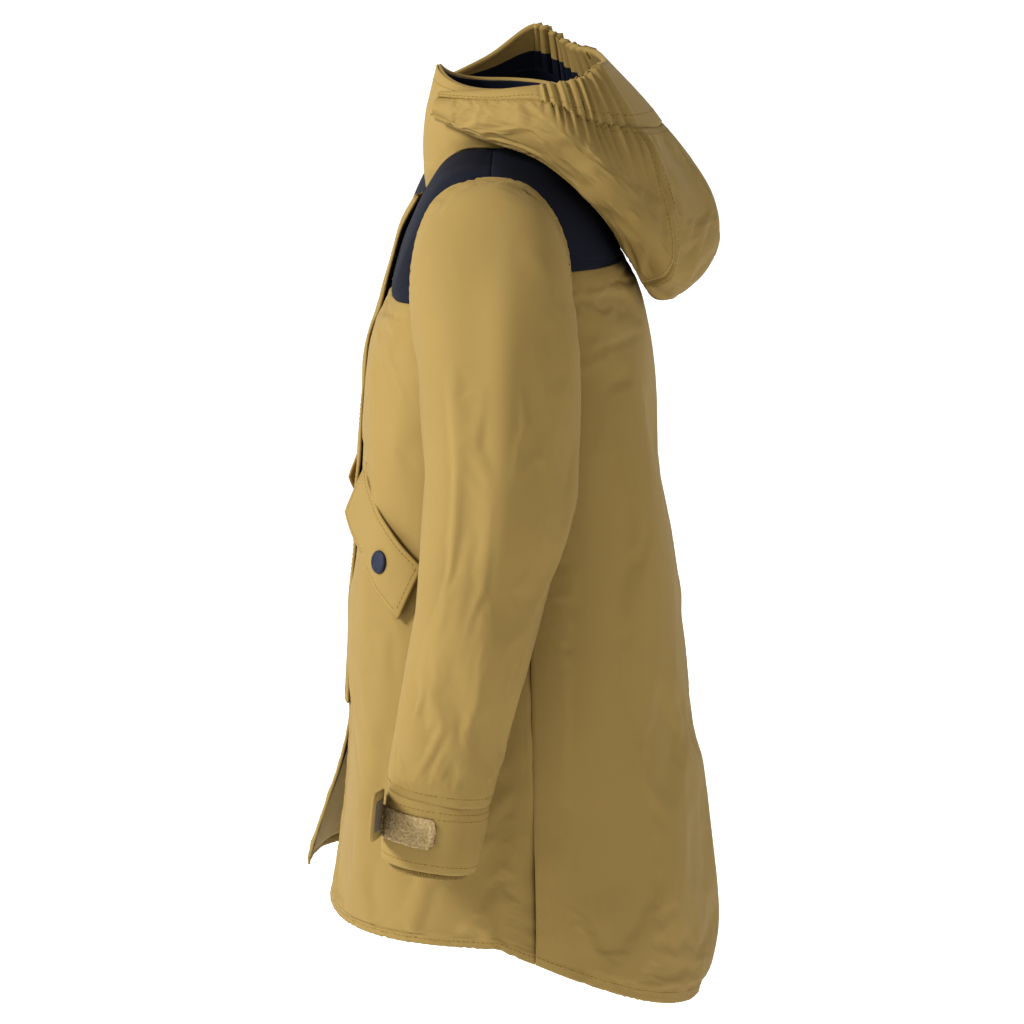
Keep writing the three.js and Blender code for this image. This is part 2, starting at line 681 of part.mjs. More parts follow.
function stormSurface(u, v) {
  const level = levelAtHeight(0, lerp(STORM.topZ, ZIP_END_Z, v));
  const x = lerp(-STORM.halfWidth, STORM.halfWidth, u);
  const angle = Math.sign(x) * frontAngleAt(Math.abs(x), level);
  return bodyPoint(angle, level);
}

function stormPad(v, outer, inner) {
  const rows = PAD.height / (STORM.topZ - ZIP_END_Z);
  const u0 = 0.5 + PAD.inner / (2 * STORM.halfWidth);
  const u1 = u0 + PAD.width / (2 * STORM.halfWidth);
  return slab(part(stormSurface, u0, u1, v, v + rows), 1, 2, outer, inner);
}

function buildFront() {
  addPair('zip_tape', 'tape', slab(
    zipStrip(TAPE.inner, TAPE.outer, ZIP_TOP_Z, ZIP_END_Z), 1, 10, TAPE.thick / 2, -TAPE.thick / 2,
  ));
  addPair('zip_coil', 'coil', slab(
    zipStrip(COIL.inner, COIL.outer, ZIP_TOP_Z, ZIP_END_Z), 1, 10, COIL.thick / 2, -COIL.thick / 2,
  ));
  const seat = zipStrip(0, 0, ZIP_TOP_Z - 9, ZIP_TOP_Z - 9)(0, 0);
  const lean = Math.asin((seat.z - ZIP_ARC.z) / ZIP_ARC.radius);
  const place = (geometry) => geometry.rotateX(-lean).translate(...seat.toArray());
  add('zip_slider', 'metal', place(zipSlider()));
  add('zip_pull', 'metal', place(zipPull().translate(0, -COIL.thick / 2 - 3.2, 1)));
  add('storm_flap', 'shell', slab(stormSurface, 4, 14, STORM.lift[1], STORM.lift[0]));
  const heights = { upper: 0.28, middle: 0.56, lower: 0.86 };
  for (const [place, v] of Object.entries(heights)) {
    add(`storm_loop_${place}`, 'fastener', stormPad(v, 1.5, 0.6));
    add(`storm_hook_${place}`, 'fastener', stormPad(v, 2.7, 1.9));
  }
}

// ---------------------------------------------------------------- hood

// The left profile seen on the right side, with its rim lifted.
function rightProfile(profile, index) {
  return profile.map(([x, y, z], k) => {
    const lift = k === profile.length - 1 ? FAR_RIM_LIFT[index] : 0;
    return [-x, y, z + lift];
  });
}

const HOOD_NET = [
  ...HOOD_PROFILES,
  ...HOOD_PROFILES.slice(0, -1).map(rightProfile).reverse(),
];

function hoodSurface(u, v) {
  const across = u * (HOOD_NET.length - 1);
  const along = (1 - v) * (HOOD_PROFILES[0].length - 1);
  const coordinate = (k) => smoothThrough(
    HOOD_NET.map((profile) => smoothThrough(profile.map((point) => point[k]), along)),
    across,
  );
  return vector(coordinate(0), coordinate(1), coordinate(2));
}

const HOOD_BAND = 0.13;        // share of the profile taken by the band along the rim

function buildHood() {
  add('hood_shell', 'shell', slab(part(hoodSurface, 0, 1, HOOD_BAND, 1), 20, 8, 0, -FABRIC));
  const inside = part(hoodSurface, 0.005, 0.995, HOOD_BAND, 1);
  add('hood_lining', 'lining', slab(inside, 20, 8, -4.6, -5.6));
  add('hood_band', 'shell', slab(part(hoodSurface, 0, 1, 0, HOOD_BAND - 0.01), 20, 2, 0.4, -2));
  const elastic = part(hoodSurface, 0.23, 0.32, 0.03, 0.08);
  addPair('hood_elastic', 'elastic', slab(elastic, 5, 1, -3, -3.7));
}

buildBody();
buildLinings();
buildPockets();
buildSleeves();
buildCollar();
buildFront();
buildHood();

export default coat;
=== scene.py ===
"""Looks of the hooded parka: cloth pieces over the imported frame, in metres."""
import math

import bpy
import numpy as np
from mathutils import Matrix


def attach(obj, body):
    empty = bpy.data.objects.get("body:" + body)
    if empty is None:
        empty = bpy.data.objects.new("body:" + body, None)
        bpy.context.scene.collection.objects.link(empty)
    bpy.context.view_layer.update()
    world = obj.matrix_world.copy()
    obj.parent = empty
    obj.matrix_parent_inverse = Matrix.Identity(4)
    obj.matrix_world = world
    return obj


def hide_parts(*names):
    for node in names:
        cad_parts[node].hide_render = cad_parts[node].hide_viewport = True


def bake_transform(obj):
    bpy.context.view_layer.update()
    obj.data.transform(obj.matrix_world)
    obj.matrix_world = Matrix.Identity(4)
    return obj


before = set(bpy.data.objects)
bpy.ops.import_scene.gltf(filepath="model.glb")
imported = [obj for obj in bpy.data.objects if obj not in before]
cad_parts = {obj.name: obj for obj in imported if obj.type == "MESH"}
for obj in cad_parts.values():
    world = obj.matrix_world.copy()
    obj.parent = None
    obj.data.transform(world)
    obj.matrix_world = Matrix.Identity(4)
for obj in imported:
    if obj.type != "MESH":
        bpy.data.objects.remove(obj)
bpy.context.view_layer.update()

# ---------------------------------------------------------------- dimensions, in millimetres

# The body is a stack of rings from the neck seam to the hem: centre front (y, z),
# side (x, z), centre back (y, z), and how square the front and the back are.
BODY_RINGS = [
    {"front": (-58, -38), "side": (68, 3), "back": (46, 6), "square": (2.2, 2.2)},
    {"front": (-69, -57), "side": (102, -2), "back": (60, -24), "square": (3.0, 2.5)},
    {"front": (-78, -88), "side": (135, -10), "back": (73, -58), "square": (4.0, 2.7)},
    {"front": (-83, -108), "side": (143, -42), "back": (82, -88), "square": (4.0, 2.8)},
    {"front": (-93, -150), "side": (155, -150), "back": (95, -150), "square": (3.8, 3.0)},
    {"front": (-102, -290), "side": (168, -290), "back": (112, -290), "square": (3.8, 2.9)},
    {"front": (-108, -400), "side": (184, -400), "back": (127, -405), "square": (3.6, 2.8)},
    {"front": (-117, -470), "side": (195, -470), "back": (139, -515), "square": (3.2, 2.6)},
    {"front": (-123, -504), "side": (199, -511), "back": (131, -571), "square": (3.0, 2.6)},
]
HEM = len(BODY_RINGS) - 1
MIDDLE_Y = -8
SHOULDER_ROUND = {"front": 4, "back": 1.2}
FRONT_YOKE_Z = -92
BACK_YOKE_Z = -72
SIDE_SEAM = 97
SHOULDER_SEAM = 88
FRONT_EDGE_X = 6
HEM_EDGE_X = 56
HEM_DEPTH = 17
ZIP_END_Z = -377
FRONT_SWING = 18
STITCH_INSET = 6               # distance of the topstitching from a seam
SEAM_GAP = 0.3                 # how far two panels stay apart at the seam between them
THICK = {"shell": 1.6, "lining": 0.8, "soft_lining": 0.9, "padding": 1.4, "cuff": 2.4, "rib": 1.4,
         "storm_flap": 2.0, "pocket_flap": 1.9, "welt": 1.8, "hood_band": 4.2, "tape": 0.8,
         "fastener": 0.9,
         "elastic": 0.6, "collar_roll": 3.4, "cuff_loop": 1.1, "cuff_hook": 1.0, "hang_loop": 1.2}
LINING_DEPTH = {"front_edge": 2.4, "front_rim": 5, "front": 15, "back": 8.4, "sleeve": 5.3,
                "collar": 4.2, "hood": 4.6}
FACING = 110                   # shell cloth turned in along the front edges
PADDING_DEPTH = 4.6
QUILT_ROW = 62

ARMHOLE = {"y": -13.5, "z": -82, "half_width": 51.2, "half_height": 71.4, "square": 2.4}

# Sleeve rings from the armhole to the wrist.
SLEEVE_RINGS = [
    {"outer": (137, -9.5), "inner": (156, -149), "y": -13.5, "half": 51, "tilt": 0},
    {"outer": (190, -26), "inner": (158.5, -161), "y": -12.5, "half": 53.5, "tilt": 0},
    {"outer": (228, -90), "inner": (162, -178), "y": -8.5, "half": 52, "tilt": 0},
    {"outer": (246, -180), "inner": (167, -224), "y": -9, "half": 48.5, "tilt": 0},
    {"outer": (252, -280), "inner": (175, -286), "y": -20, "half": 43, "tilt": 1},
    {"outer": (255, -374), "inner": (188, -370), "y": -42, "half": 36, "tilt": 5},
    {"outer": (257, -448), "inner": (200, -445), "y": -53.5, "half": 31.5, "tilt": 5},
]
WRIST = len(SLEEVE_RINGS) - 1
CUFF_START = 5.4
SLEEVE_SQUARE = 2.3
CAP_BLEND = 0.35
CAP_INNER_X = 114
ROOT_GAP = 0.2                 # between the sleeve's root and the body

COLLAR_TOP = {"front": (-48, 54), "side": (58, 41), "back": (37, 39)}
COLLAR_BULGE = 5
COLLAR_EDGE = 7

# Hood profiles from the front end to the centre back, each from the neck seam,
# under the bag and up over it to the rim.
HOOD_PROFILES = [
    [(50, -46, 22), (55, -49, 21), (60, -50, 24), (64, -50, 30), (63, -48, 36), (60, -45, 40)],
    [(72, -16, 13), (78, -18, 11), (85, -18, 11), (92, -16, 22), (90, -14, 34), (85, -12, 43)],
    [(77, 16, 14), (90, 17, 5), (104, 20, -2), (114, 22, 14), (108, 22, 34), (96, 20, 47)],
    [(64, 54, 12), (82, 56, -20), (101, 59, -37), (114, 72, -28), (104, 58, 14), (90, 46, 51)],
    [(32, 60, 8), (46, 76, -40), (58, 90, -86), (78, 112, -72), (70, 92, 0), (62, 60, 58)],
    [(0, 60, 8), (0, 77, -44), (0, 100, -104), (0, 141, -62), (0, 115, 0), (0, 66, 57)],
]
FAR_RIM_LIFT = [0, 12, 28, 11, 2]
HOOD_BAND = 0.15               # share of the profile, from the rim, that the edge band takes
HOOD_FOLD = 0.6                # share where the bag ends and the underside begins
BAND_FACING = 0.5              # how far down its inside the band is faced with shell cloth
HOOD_SEAM_COLUMN = 101         # the column of the bag where its side and middle panels meet

# Corners of the slanted pocket flap as (angle, height): sewn edge, then free edge.
FLAP_SEWN = [(50, -203), (73, -264)]
FLAP_FREE = [(44, -238), (68, -298)]

ZIP_ARC = {"radius": 1500, "y": 1398.7, "z": -390}
ZIP_TOP_Z = -78
STORM = {"half_width": 24, "top_z": -40, "pad_length": 26}

CAMERA = {"azimuth": 89.3, "elevation": 8.0, "distance": 4.2, "aim": (0, 0.003, -0.25)}
CAMERA_LENS = 217.1
FLOOR_Z = -0.66
FLOOR_HALF = 40

# Colours are linear.
MUSTARD = (0.268, 0.188, 0.068)
NAVY = (0.0145, 0.016, 0.023)
LINING_NAVY = (0.011, 0.013, 0.022)
LOOP_BEIGE = (0.42, 0.31, 0.15)
THREAD = (0.24, 0.16, 0.045)


# ---------------------------------------------------------------- numbers and curves

def lerp(a, b, t):
    return a + (b - a) * t


def smoothstep(x, low, high):
    t = np.clip((x - low) / (high - low), 0, 1)
    return t * t * (3 - 2 * t)


def through(values, at):
    """A smooth curve through a row of values, read at fractional positions."""
    values = np.asarray(values, float)
    last = len(values) - 1
    i = np.clip(np.floor(at).astype(int), 0, last - 1)
    u = at - i
    columns = np.arange(len(at))

    def value(k):
        k = np.clip(k, 0, last)
        return values[k] if values.ndim == 1 else values[k, columns]

    p1, p2 = value(i), value(i + 1)
    p0 = np.where(i > 0, value(i - 1), 2 * p1 - p2)
    p3 = np.where(i + 2 <= last, value(i + 2), 2 * p2 - p1)
    bend = 2 * p0 - 5 * p1 + 4 * p2 - p3
    return 0.5 * (2 * p1 + (p2 - p0) * u + bend * u * u + (3 * p1 - p0 - 3 * p2 + p3) * u ** 3)


def solve_falling(fn, target, low, high):
    """Where a falling function reaches a target, for whole arrays at once."""
    low = np.broadcast_to(np.asarray(low, float), np.shape(target)).copy()
    high = np.broadcast_to(np.asarray(high, float), np.shape(target)).copy()
    for _ in range(30):
        middle = (low + high) / 2
        above = fn(middle) > target
        low = np.where(above, middle, low)
        high = np.where(above, high, middle)
    return (low + high) / 2


def squared_radius(angle, a, b, square):
    across = np.abs(np.sin(angle)) / a
    along = np.abs(np.cos(angle)) / b
    return (across ** square + along ** square) ** (-1 / square)


def unevenness(points, size, seed):
    """A slow, even wandering between -1 and 1 over a surface."""
    rng = np.random.default_rng(seed)
    total = np.zeros(len(points))
    for _ in range(7):
        direction = rng.normal(size=3)
        direction *= rng.uniform(0.6, 1.5) / (size * np.linalg.norm(direction))
        total += np.sin(points @ direction * 2 * np.pi + rng.uniform(0, 2 * np.pi))
    return total / 3.2


def fold(points, path, width, height, axes=(1, 2)):
    """A soft ridge along a path seen square on, fading at both ends."""
    flat = points[:, axes]
    path = np.asarray(path, float)
    steps = np.diff(path, axis=0)
    lengths = np.linalg.norm(steps, axis=1)
    total = lengths.sum()
    best = np.full(len(flat), np.inf)
    along = np.zeros(len(flat))
    walked = 0
    for start, step, length in zip(path[:-1], steps, lengths):
        t = np.clip((flat - start) @ step / length ** 2, 0, 1)
        away = np.linalg.norm(flat - start - t[:, None] * step, axis=1)
        nearer = away < best
        best = np.where(nearer, away, best)
        along = np.where(nearer, walked + t * length, along)
        walked += length
    ends = smoothstep(along, 0, 0.3 * total) * smoothstep(total - along, 0, 0.3 * total)
    return height * np.exp(-(best / width) ** 2) * np.maximum(ends, 0.0)


# ---------------------------------------------------------------- garment surfaces

def body_point(degrees, level):
    """Points of the body, by the angle round it from the centre front and the ring."""
    angle = np.radians(degrees)
    ahead = np.cos(angle) > 0

    def ring(part, index):
        return through([r[part][index] for r in BODY_RINGS], level)

    depth = np.where(ahead, np.abs(ring("front", 0) - MIDDLE_Y), np.abs(ring("back", 0) - MIDDLE_Y))
    square = np.where(ahead, ring("square", 0), ring("square", 1))
    radius = squared_radius(angle, ring("side", 0), depth, square)
    reach = radius * np.cos(angle)
    rounding = np.where(ahead, SHOULDER_ROUND["front"], SHOULDER_ROUND["back"])
    share = (np.abs(reach) / depth) ** lerp(rounding, 1, level / HEM)
    z = lerp(ring("side", 1), np.where(ahead, ring("front", 1), ring("back", 1)), share)
    return np.stack([radius * np.sin(angle), MIDDLE_Y - reach, z], 1)


def level_at_height(degrees, z):
    """The ring, as a fraction, at which the body passes a height."""
    return solve_falling(lambda level: body_point(degrees, level)[:, 2], z, 0, HEM)


def front_angle_at(x, level):
    return solve_falling(lambda degrees: -body_point(degrees, level)[:, 0], -x, 0, 80)


def front_edge(level):
    z = body_point(np.zeros(len(level)), level)[:, 2]
    hem_z = BODY_RINGS[HEM]["front"][1]
    spread = np.clip((z - ZIP_END_Z) / (hem_z - ZIP_END_Z), 0, 1)
    return front_angle_at(lerp(FRONT_EDGE_X, HEM_EDGE_X, spread), level)


def constant(value):
    return lambda other: np.full(len(other), float(value))


def level_of(z):
    """The edge of a body patch that runs level round the body."""
    return lambda degrees: level_at_height(degrees, np.full(len(degrees), z))


def body_patch(top, bottom, left, right):
    """A patch of the body between two levels and two angles, which may vary."""
    def surface(u, v):
        zero = np.zeros(len(u))
        guess = lerp(left(zero), right(zero), u)
        level = lerp(top(guess), bottom(guess), v)
        return body_point(lerp(left(level), right(level), u), level)
    return surface


def body_side_x(y, z):
    angle = solve_falling(
        lambda degrees: -body_point(degrees, level_at_height(degrees, z))[:, 1], -y, 55, 150)
    return body_point(angle, level_at_height(angle, z))[:, 0]


def sleeve_surface(from_level, to_level):
    """u goes round the sleeve from its outer side to the back; v runs down it."""
    def surface(u, v):
        level = lerp(from_level, to_level, v)
        angle = -2 * np.pi * u

        def ring(part, index=None):
            values = [r[part] if index is None else r[part][index] for r in SLEEVE_RINGS]
            return through(values, level)

        outer_x, outer_z = ring("outer", 0), ring("outer", 1)
        inner_x, inner_z = ring("inner", 0), ring("inner", 1)
        reach = np.hypot(outer_x - inner_x, outer_z - inner_z) / 2
        half = ring("half")
        radius = squared_radius(angle, half, reach, SLEEVE_SQUARE)
        share = (radius * np.cos(angle) / reach + 1) / 2
        y = ring("y") - radius * np.sin(angle)
        x = lerp(inner_x, outer_x, share)
        z = lerp(inner_z, outer_z, share) + ring("tilt") * radius * np.sin(angle) / half
        free = smoothstep(level, 0, CAP_BLEND)
        low = free < 1
        root_x = np.maximum(body_side_x(y[low], z[low]) + ROOT_GAP, CAP_INNER_X)
        x[low] = lerp(root_x, x[low], free[low])
        return np.stack([x, y, z], 1)
    return surface


def collar_surface(u, v):
    """u goes round the collar from its left front edge; v runs down it to the neck seam."""
    degrees = lerp(COLLAR_EDGE, 360 - COLLAR_EDGE, u)
    rise = lerp(1, 0.02, v)
    angle = np.radians(degrees)
    foot = body_point(degrees, np.zeros(len(u))) * [0.96, 0.96, 1]
    ahead = np.cos(angle) > 0
    top_y = np.where(ahead, COLLAR_TOP["front"][0], COLLAR_TOP["back"][0])
    top_z = np.where(ahead, COLLAR_TOP["front"][1], COLLAR_TOP["back"][1])
    radius = squared_radius(angle, COLLAR_TOP["side"][0], np.abs(top_y - MIDDLE_Y), 2.2)
    top = np.stack([
        radius * np.sin(angle),
        MIDDLE_Y - radius * np.cos(angle),
        lerp(COLLAR_TOP["side"][1], top_z, np.cos(angle) ** 2),
    ], 1)
    points = lerp(foot, top, rise[:, None])
    points[:, 1] -= COLLAR_BULGE * np.sin(np.pi * rise) * np.maximum(0, np.cos(angle))
    return points


def hood_net():
    right = []
    for profile, lift in zip(HOOD_PROFILES, FAR_RIM_LIFT):
        side = [(-x, y, z) for x, y, z in profile]
        x, y, z = side[-1]
        side[-1] = (x, y, z + lift)
        right.append(side)
    return np.array(HOOD_PROFILES + right[::-1], float)


def hood_surface(u, v):
    """u goes round the hood from front end to front end; v from the rim to the neck seam."""
    net = hood_net()
    across = u * (len(net) - 1)
    along = (1 - v) * (net.shape[1] - 1)
    return np.stack([
        through(np.array([through(profile[:, k], along) for profile in net]), across)
        for k in range(3)
    ], 1)


def pocket_surface(u, v):
    def corner(k):
        sewn = lerp(FLAP_SEWN[0][k], FLAP_SEWN[1][k], u)
        free = lerp(FLAP_FREE[0][k], FLAP_FREE[1][k], u)
        return lerp(sewn, free, v)
    return body_point(corner(0), level_at_height(corner(0), corner(1)))


def zip_strip(x0, x1, top_z, bottom_z):
    def surface(u, v):
        z = lerp(top_z, bottom_z, v)
        back = np.sqrt(ZIP_ARC["radius"] ** 2 - (z - ZIP_ARC["z"]) ** 2)
        return np.stack([lerp(x0, x1, u), ZIP_ARC["y"] - back, z], 1)
    return surface


def storm_surface(u, v):
    """The storm flap's strip of the body; u runs to the wearer's left, v down."""
    z = lerp(STORM["top_z"], ZIP_END_Z, v)
    level = level_at_height(np.zeros(len(u)), z)
    x = lerp(-STORM["half_width"], STORM["half_width"], u)
    angle = np.sign(x) * front_angle_at(np.abs(x), level)
    return body_point(angle, level)


def part(surface, u0, u1, v0, v1):
    """A rectangle cut out of a surface."""
    return lambda u, v: surface(lerp(u0, u1, u), lerp(v0, v1, v))


# ---------------------------------------------------------------- cloth pieces

class Grid:
    """A sheet of points in rows and columns, with room to be shaped before it is thickened."""

    def __init__(self, surface, across, down, wrapped=False):
        self.across, self.down, self.wrapped = across, down, wrapped
        columns = across if wrapped else across + 1
        u = np.tile(np.arange(columns) / across, down + 1)
        v = np.repeat(np.arange(down + 1) / down, columns)
        self.u, self.v = u, v
        self.columns = columns
        self.points = surface(u, v)
        self.base_normals = self.normals()
        self.keep = None
        self.size = self.spacing()

    def rows(self):
        return self.points.reshape(self.down + 1, self.columns, 3)

    def spacing(self):
        rows = self.rows()
        wide = np.linalg.norm(np.diff(rows, axis=1), axis=2).mean()
        tall = np.linalg.norm(np.diff(rows, axis=0), axis=2).mean()
        return wide, tall

    def normals(self):
        rows = self.rows()
        if self.wrapped:
            du = np.roll(rows, -1, 1) - np.roll(rows, 1, 1)
        else:
            du = np.gradient(rows, axis=1)
        dv = np.gradient(rows, axis=0)
        normal = np.cross(dv, du)
        length = np.linalg.norm(normal, axis=2, keepdims=True)
        return (normal / np.maximum(length, 1e-9)).reshape(-1, 3)

    def lift(self, amount):
        """Moves every point along its first normal."""
        self.points = self.points + self.base_normals * np.reshape(amount, (-1, 1))
        return self

    def faces(self, whole=False):
        """Quads and their flat coordinates in metres, without the cells that were cut away."""
        jj, ii = np.meshgrid(np.arange(self.down), np.arange(self.across), indexing="ij")
        right = (ii + 1) % self.columns
        quads = np.stack([
            jj * self.columns + ii,
            (jj + 1) * self.columns + ii,
            (jj + 1) * self.columns + right,
            jj * self.columns + right,
        ], -1).reshape(-1, 4)
        wide, tall = self.size
        corners = [(ii, jj), (ii, jj + 1), (ii + 1, jj + 1), (ii + 1, jj)]
        uvs = np.stack([np.stack([a * wide, b * tall], -1) for a, b in corners], 2)
        uvs = uvs.reshape(-1, 4, 2)
        if self.keep is not None and not whole:
            quads, uvs = quads[self.keep], uvs[self.keep]
        return quads, uvs / 1000

    def line(self, row=None, column=None, start=0.0, end=1.0):
        """Points and normals along one row or one column."""
        rows, normals = self.rows(), self.normals().reshape(self.down + 1, self.columns, 3)
        if row is not None:
            cells = np.arange(int(start * (self.columns - 1)), int(end * (self.columns - 1)) + 1)
            return rows[row][cells], normals[row][cells]
        cells = np.arange(int(start * self.down), int(end * self.down) + 1)
        return rows[cells, column], normals[cells, column]


class Piece:
    """Collects a piece's faces and turns them into one object."""

    def __init__(self, name):
        self.name = name
        self.points, self.quads, self.uvs, self.finishes = [], [], [], []
        self.count = 0

    def add(self, points, quads, uvs, finish):
        self.points.append(points)
        self.quads.append(quads + self.count)
        self.uvs.append(uvs)
        self.finishes.append(np.full(len(quads), finish))
        self.count += len(points)

    def slab(self, grid, thick, depth=0.0):
        """The grid with thickness, from `depth` inward, with rounded edges."""
        quads, uvs = grid.faces()
        used = np.unique(quads)
        remap = np.full(len(grid.points), -1)
        remap[used] = np.arange(len(used))
        normals = grid.normals()[used]
        outer = grid.points[used] - normals * depth
        inner = outer - normals * thick
        quads = remap[quads]
        edges = np.concatenate([quads[:, [k, (k + 1) % 4]] for k in range(4)])
        keys = np.sort(edges, 1)
        _, first, counts = np.unique(keys, axis=0, return_index=True, return_counts=True)
        border = edges[first[counts == 1]]
        along = outer[border[:, 1]] - outer[border[:, 0]]
        away = np.zeros_like(outer)
        for k in range(2):
            np.add.at(away, border[:, k], np.cross(along, normals[border[:, k]]))
        rim = np.unique(border)
        away = away[rim] / np.maximum(np.linalg.norm(away[rim], axis=1, keepdims=True), 1e-9)
        middle = outer[rim] - normals[rim] * thick / 2 + away * thick * 0.45
        number = len(outer)
        place = np.full(number, -1)
        place[rim] = 2 * number + np.arange(len(rim))
        a, b = border[:, 0], border[:, 1]
        strips = np.concatenate([
            np.stack([b, a, place[a], place[b]], 1),
            np.stack([place[b], place[a], a + number, b + number], 1),
        ])
        strip_uv = np.zeros((len(strips), 4, 2))
        self.add(
            np.concatenate([outer, inner, middle]),
            np.concatenate([quads, quads[:, ::-1] + number, strips]),
            np.concatenate([uvs, uvs[:, ::-1], strip_uv]),
            0,
        )
        return self

    def stitches(self, line, finish=1, pitch=3.2, length=2.3, radius=0.32, inset=0.0):
        """A row of small raised stitches along a line on the cloth."""
        points, normals = line
        steps = np.linalg.norm(np.diff(points, axis=0), axis=1)
        walked = np.concatenate([[0], np.cumsum(steps)])
        count = max(int(walked[-1] / pitch), 1)
        at = (np.arange(count) + 0.5) * walked[-1] / count

        def read(values, where):
            return np.stack([np.interp(where, walked, values[:, k]) for k in range(3)], 1)

        middle = read(points, at)
        ahead = read(points, at + 0.5) - read(points, at - 0.5)
        ahead /= np.maximum(np.linalg.norm(ahead, axis=1, keepdims=True), 1e-9)
        up = read(normals, at)
        up /= np.linalg.norm(up, axis=1, keepdims=True)
        side = np.cross(ahead, up)
        middle = middle + side * inset
        rings = []
        for shift, swell in ((-0.5, 0.45), (-0.2, 1), (0.2, 1), (0.5, 0.45)):
            for across, rise in ((-1, 0), (0, 0.9), (1, 0), (0, -0.9)):
                rings.append(middle + ahead * shift * length
                             + (side * across + up * rise) * radius * swell)
        corners = np.stack(rings, 1).reshape(-1, 3)
        shape = []
        for ring in range(3):
            for k in range(4):
                n = (k + 1) % 4
                shape.append((ring * 4 + k, ring * 4 + n, ring * 4 + 4 + n, ring * 4 + 4 + k))
        shape += [(0, 3, 2, 1), (12, 13, 14, 15)]
        quads = (np.array(shape)[None] + 16 * np.arange(count)[:, None, None]).reshape(-1, 4)
        self.add(corners, quads, np.zeros((len(quads), 4, 2)), finish)
        return self

    def cut_from(self, grid):
        """Reads the faces of the cloth that this piece was cut from, in metres, and keeps nothing of them.
        """
        quads, _ = grid.faces()
        return self

    def build(self, slot, materials=None, replaces=True):
        """Makes the object, which takes the place of the CAD solid of the same name."""
        mesh = bpy.data.meshes.new(f"{self.name}_fine")
        points = np.concatenate(self.points) / 1000
        quads = np.concatenate(self.quads)
        mesh.from_pydata(points.tolist(), [], quads.tolist())
        for material in materials or FINISHES[slot]:
            mesh.materials.append(material)
        mesh.polygons.foreach_set("material_index", np.concatenate(self.finishes).astype(np.int32))
        mesh.polygons.foreach_set("use_smooth", np.ones(len(quads), bool))
        layer = mesh.uv_layers.new(name="cloth")
        layer.data.foreach_set("uv", np.concatenate(self.uvs).reshape(-1).astype(np.float32))
        mesh.update()
        obj = bpy.data.objects.new(f"{self.name}_fine", mesh)
        bpy.context.scene.collection.objects.link(obj)
        if replaces:
            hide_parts(self.name)
        return obj


def mirror_grid(grid):
    """The same sheet on the wearer's other side."""
    copy = Grid.__new__(Grid)
    copy.__dict__.update(grid.__dict__)
    rows = grid.rows()[:, ::-1] * [-1, 1, 1]
    copy.points = rows.reshape(-1, 3)
    normals = grid.base_normals.reshape(grid.down + 1, grid.columns, 3)
    copy.base_normals = (normals[:, ::-1] * [-1, 1, 1]).reshape(-1, 3)
    if grid.keep is not None:
        cells = grid.keep.reshape(grid.down, grid.across)
        cells = np.roll(cells[:, ::-1], -1, 1) if grid.wrapped else cells[:, ::-1]
        copy.keep = cells.reshape(-1)
    return copy


SIDES = (("left", 1), ("right", -1))


def sided(grid, sign):
    """The sheet as it is on the wearer's left, or mirrored for the right."""
    return grid if sign > 0 else mirror_grid(grid)


def mirrored_blend(obj, parent, child, sign, start, end):
    """Bakes the object's transform into its mesh; no blend along the line is made."""
    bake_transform(obj)


# ---------------------------------------------------------------- cloth simulation

SINK_LIMIT = 1.2               # how far settled cloth may sink towards its lining
FABRIC = {"quality": 6, "mass": 0.3, "air_damping": 4, "tension_stiffness": 25,
          "compression_stiffness": 25, "shear_stiffness": 12, "bending_stiffness": 0.6,
          "pin_stiffness": 2}


def settle(grid, held, slack, cap, pressure=0.0, frames=16):
    """Lets the sheet relax as cloth that is slightly larger than the shape it covers.
    `held` is how firmly each point stays where it is, from 0 to 1."""
    mesh = bpy.data.meshes.new("settling")
    quads, _ = grid.faces()
    mesh.from_pydata((grid.points / 1000).tolist(), [], quads[:, ::-1].tolist())
    mesh.update()
    obj = bpy.data.objects.new("settling", mesh)
    bpy.context.scene.collection.objects.link(obj)
    pins = obj.vertex_groups.new(name="held")
    for level in np.unique(np.round(held, 2)):
        if level > 0:
            members = np.flatnonzero(np.round(held, 2) == level)
            pins.add(members.tolist(), float(level), "REPLACE")
    cloth = obj.modifiers.new("cloth", "CLOTH")
    settings = cloth.settings
    for name, value in FABRIC.items():
        setattr(settings, name, value)
    settings.vertex_group_mass = "held"
    settings.shrink_min = -slack
    settings.shrink_max = -slack
    settings.use_pressure = pressure > 0
    settings.uniform_pressure_force = pressure
    settings.effector_weights.gravity = 0
    cloth.collision_settings.use_collision = False
    cloth.point_cache.frame_end = frames
    scene = bpy.context.scene
    for number in range(1, frames + 1):
        scene.frame_set(number)
    shaped = obj.evaluated_get(bpy.context.evaluated_depsgraph_get()).to_mesh()
    result = np.zeros(len(grid.points) * 3)
    shaped.vertices.foreach_get("co", result)
    moved = result.reshape(-1, 3) * 1000 - grid.points
    normals = grid.normals()
    outward = (moved * normals).sum(1)
    moved -= normals * np.minimum(outward + SINK_LIMIT, 0)[:, None]
    length = np.linalg.norm(moved, axis=1, keepdims=True)
    grid.points = grid.points + moved * np.minimum(1, cap / np.maximum(length, 1e-9))
    scene.frame_set(1)
    bpy.data.objects.remove(obj)
    bpy.data.meshes.remove(mesh)
    return grid


def edge_hold(grid, top=0.0, bottom=0.0, sides=0.0, reach=0.06):
    """Holds a sheet's sewn edges, letting go over `reach` of its width or height."""
    held = np.full(len(grid.points), 0.02)
    across = np.minimum(grid.u, 1 - grid.u)
    for firmness, distance in ((top, grid.v), (bottom, 1 - grid.v), (sides, across)):
        if grid.wrapped and distance is across:
            continue
        held = np.maximum(held, firmness * (1 - smoothstep(distance, 0, reach)))
    return np.clip(held, 0, 1)


# ---------------------------------------------------------------- materials

def set_inputs(node, values):
    for socket, value in values.items():
        node.inputs[socket].default_value = value


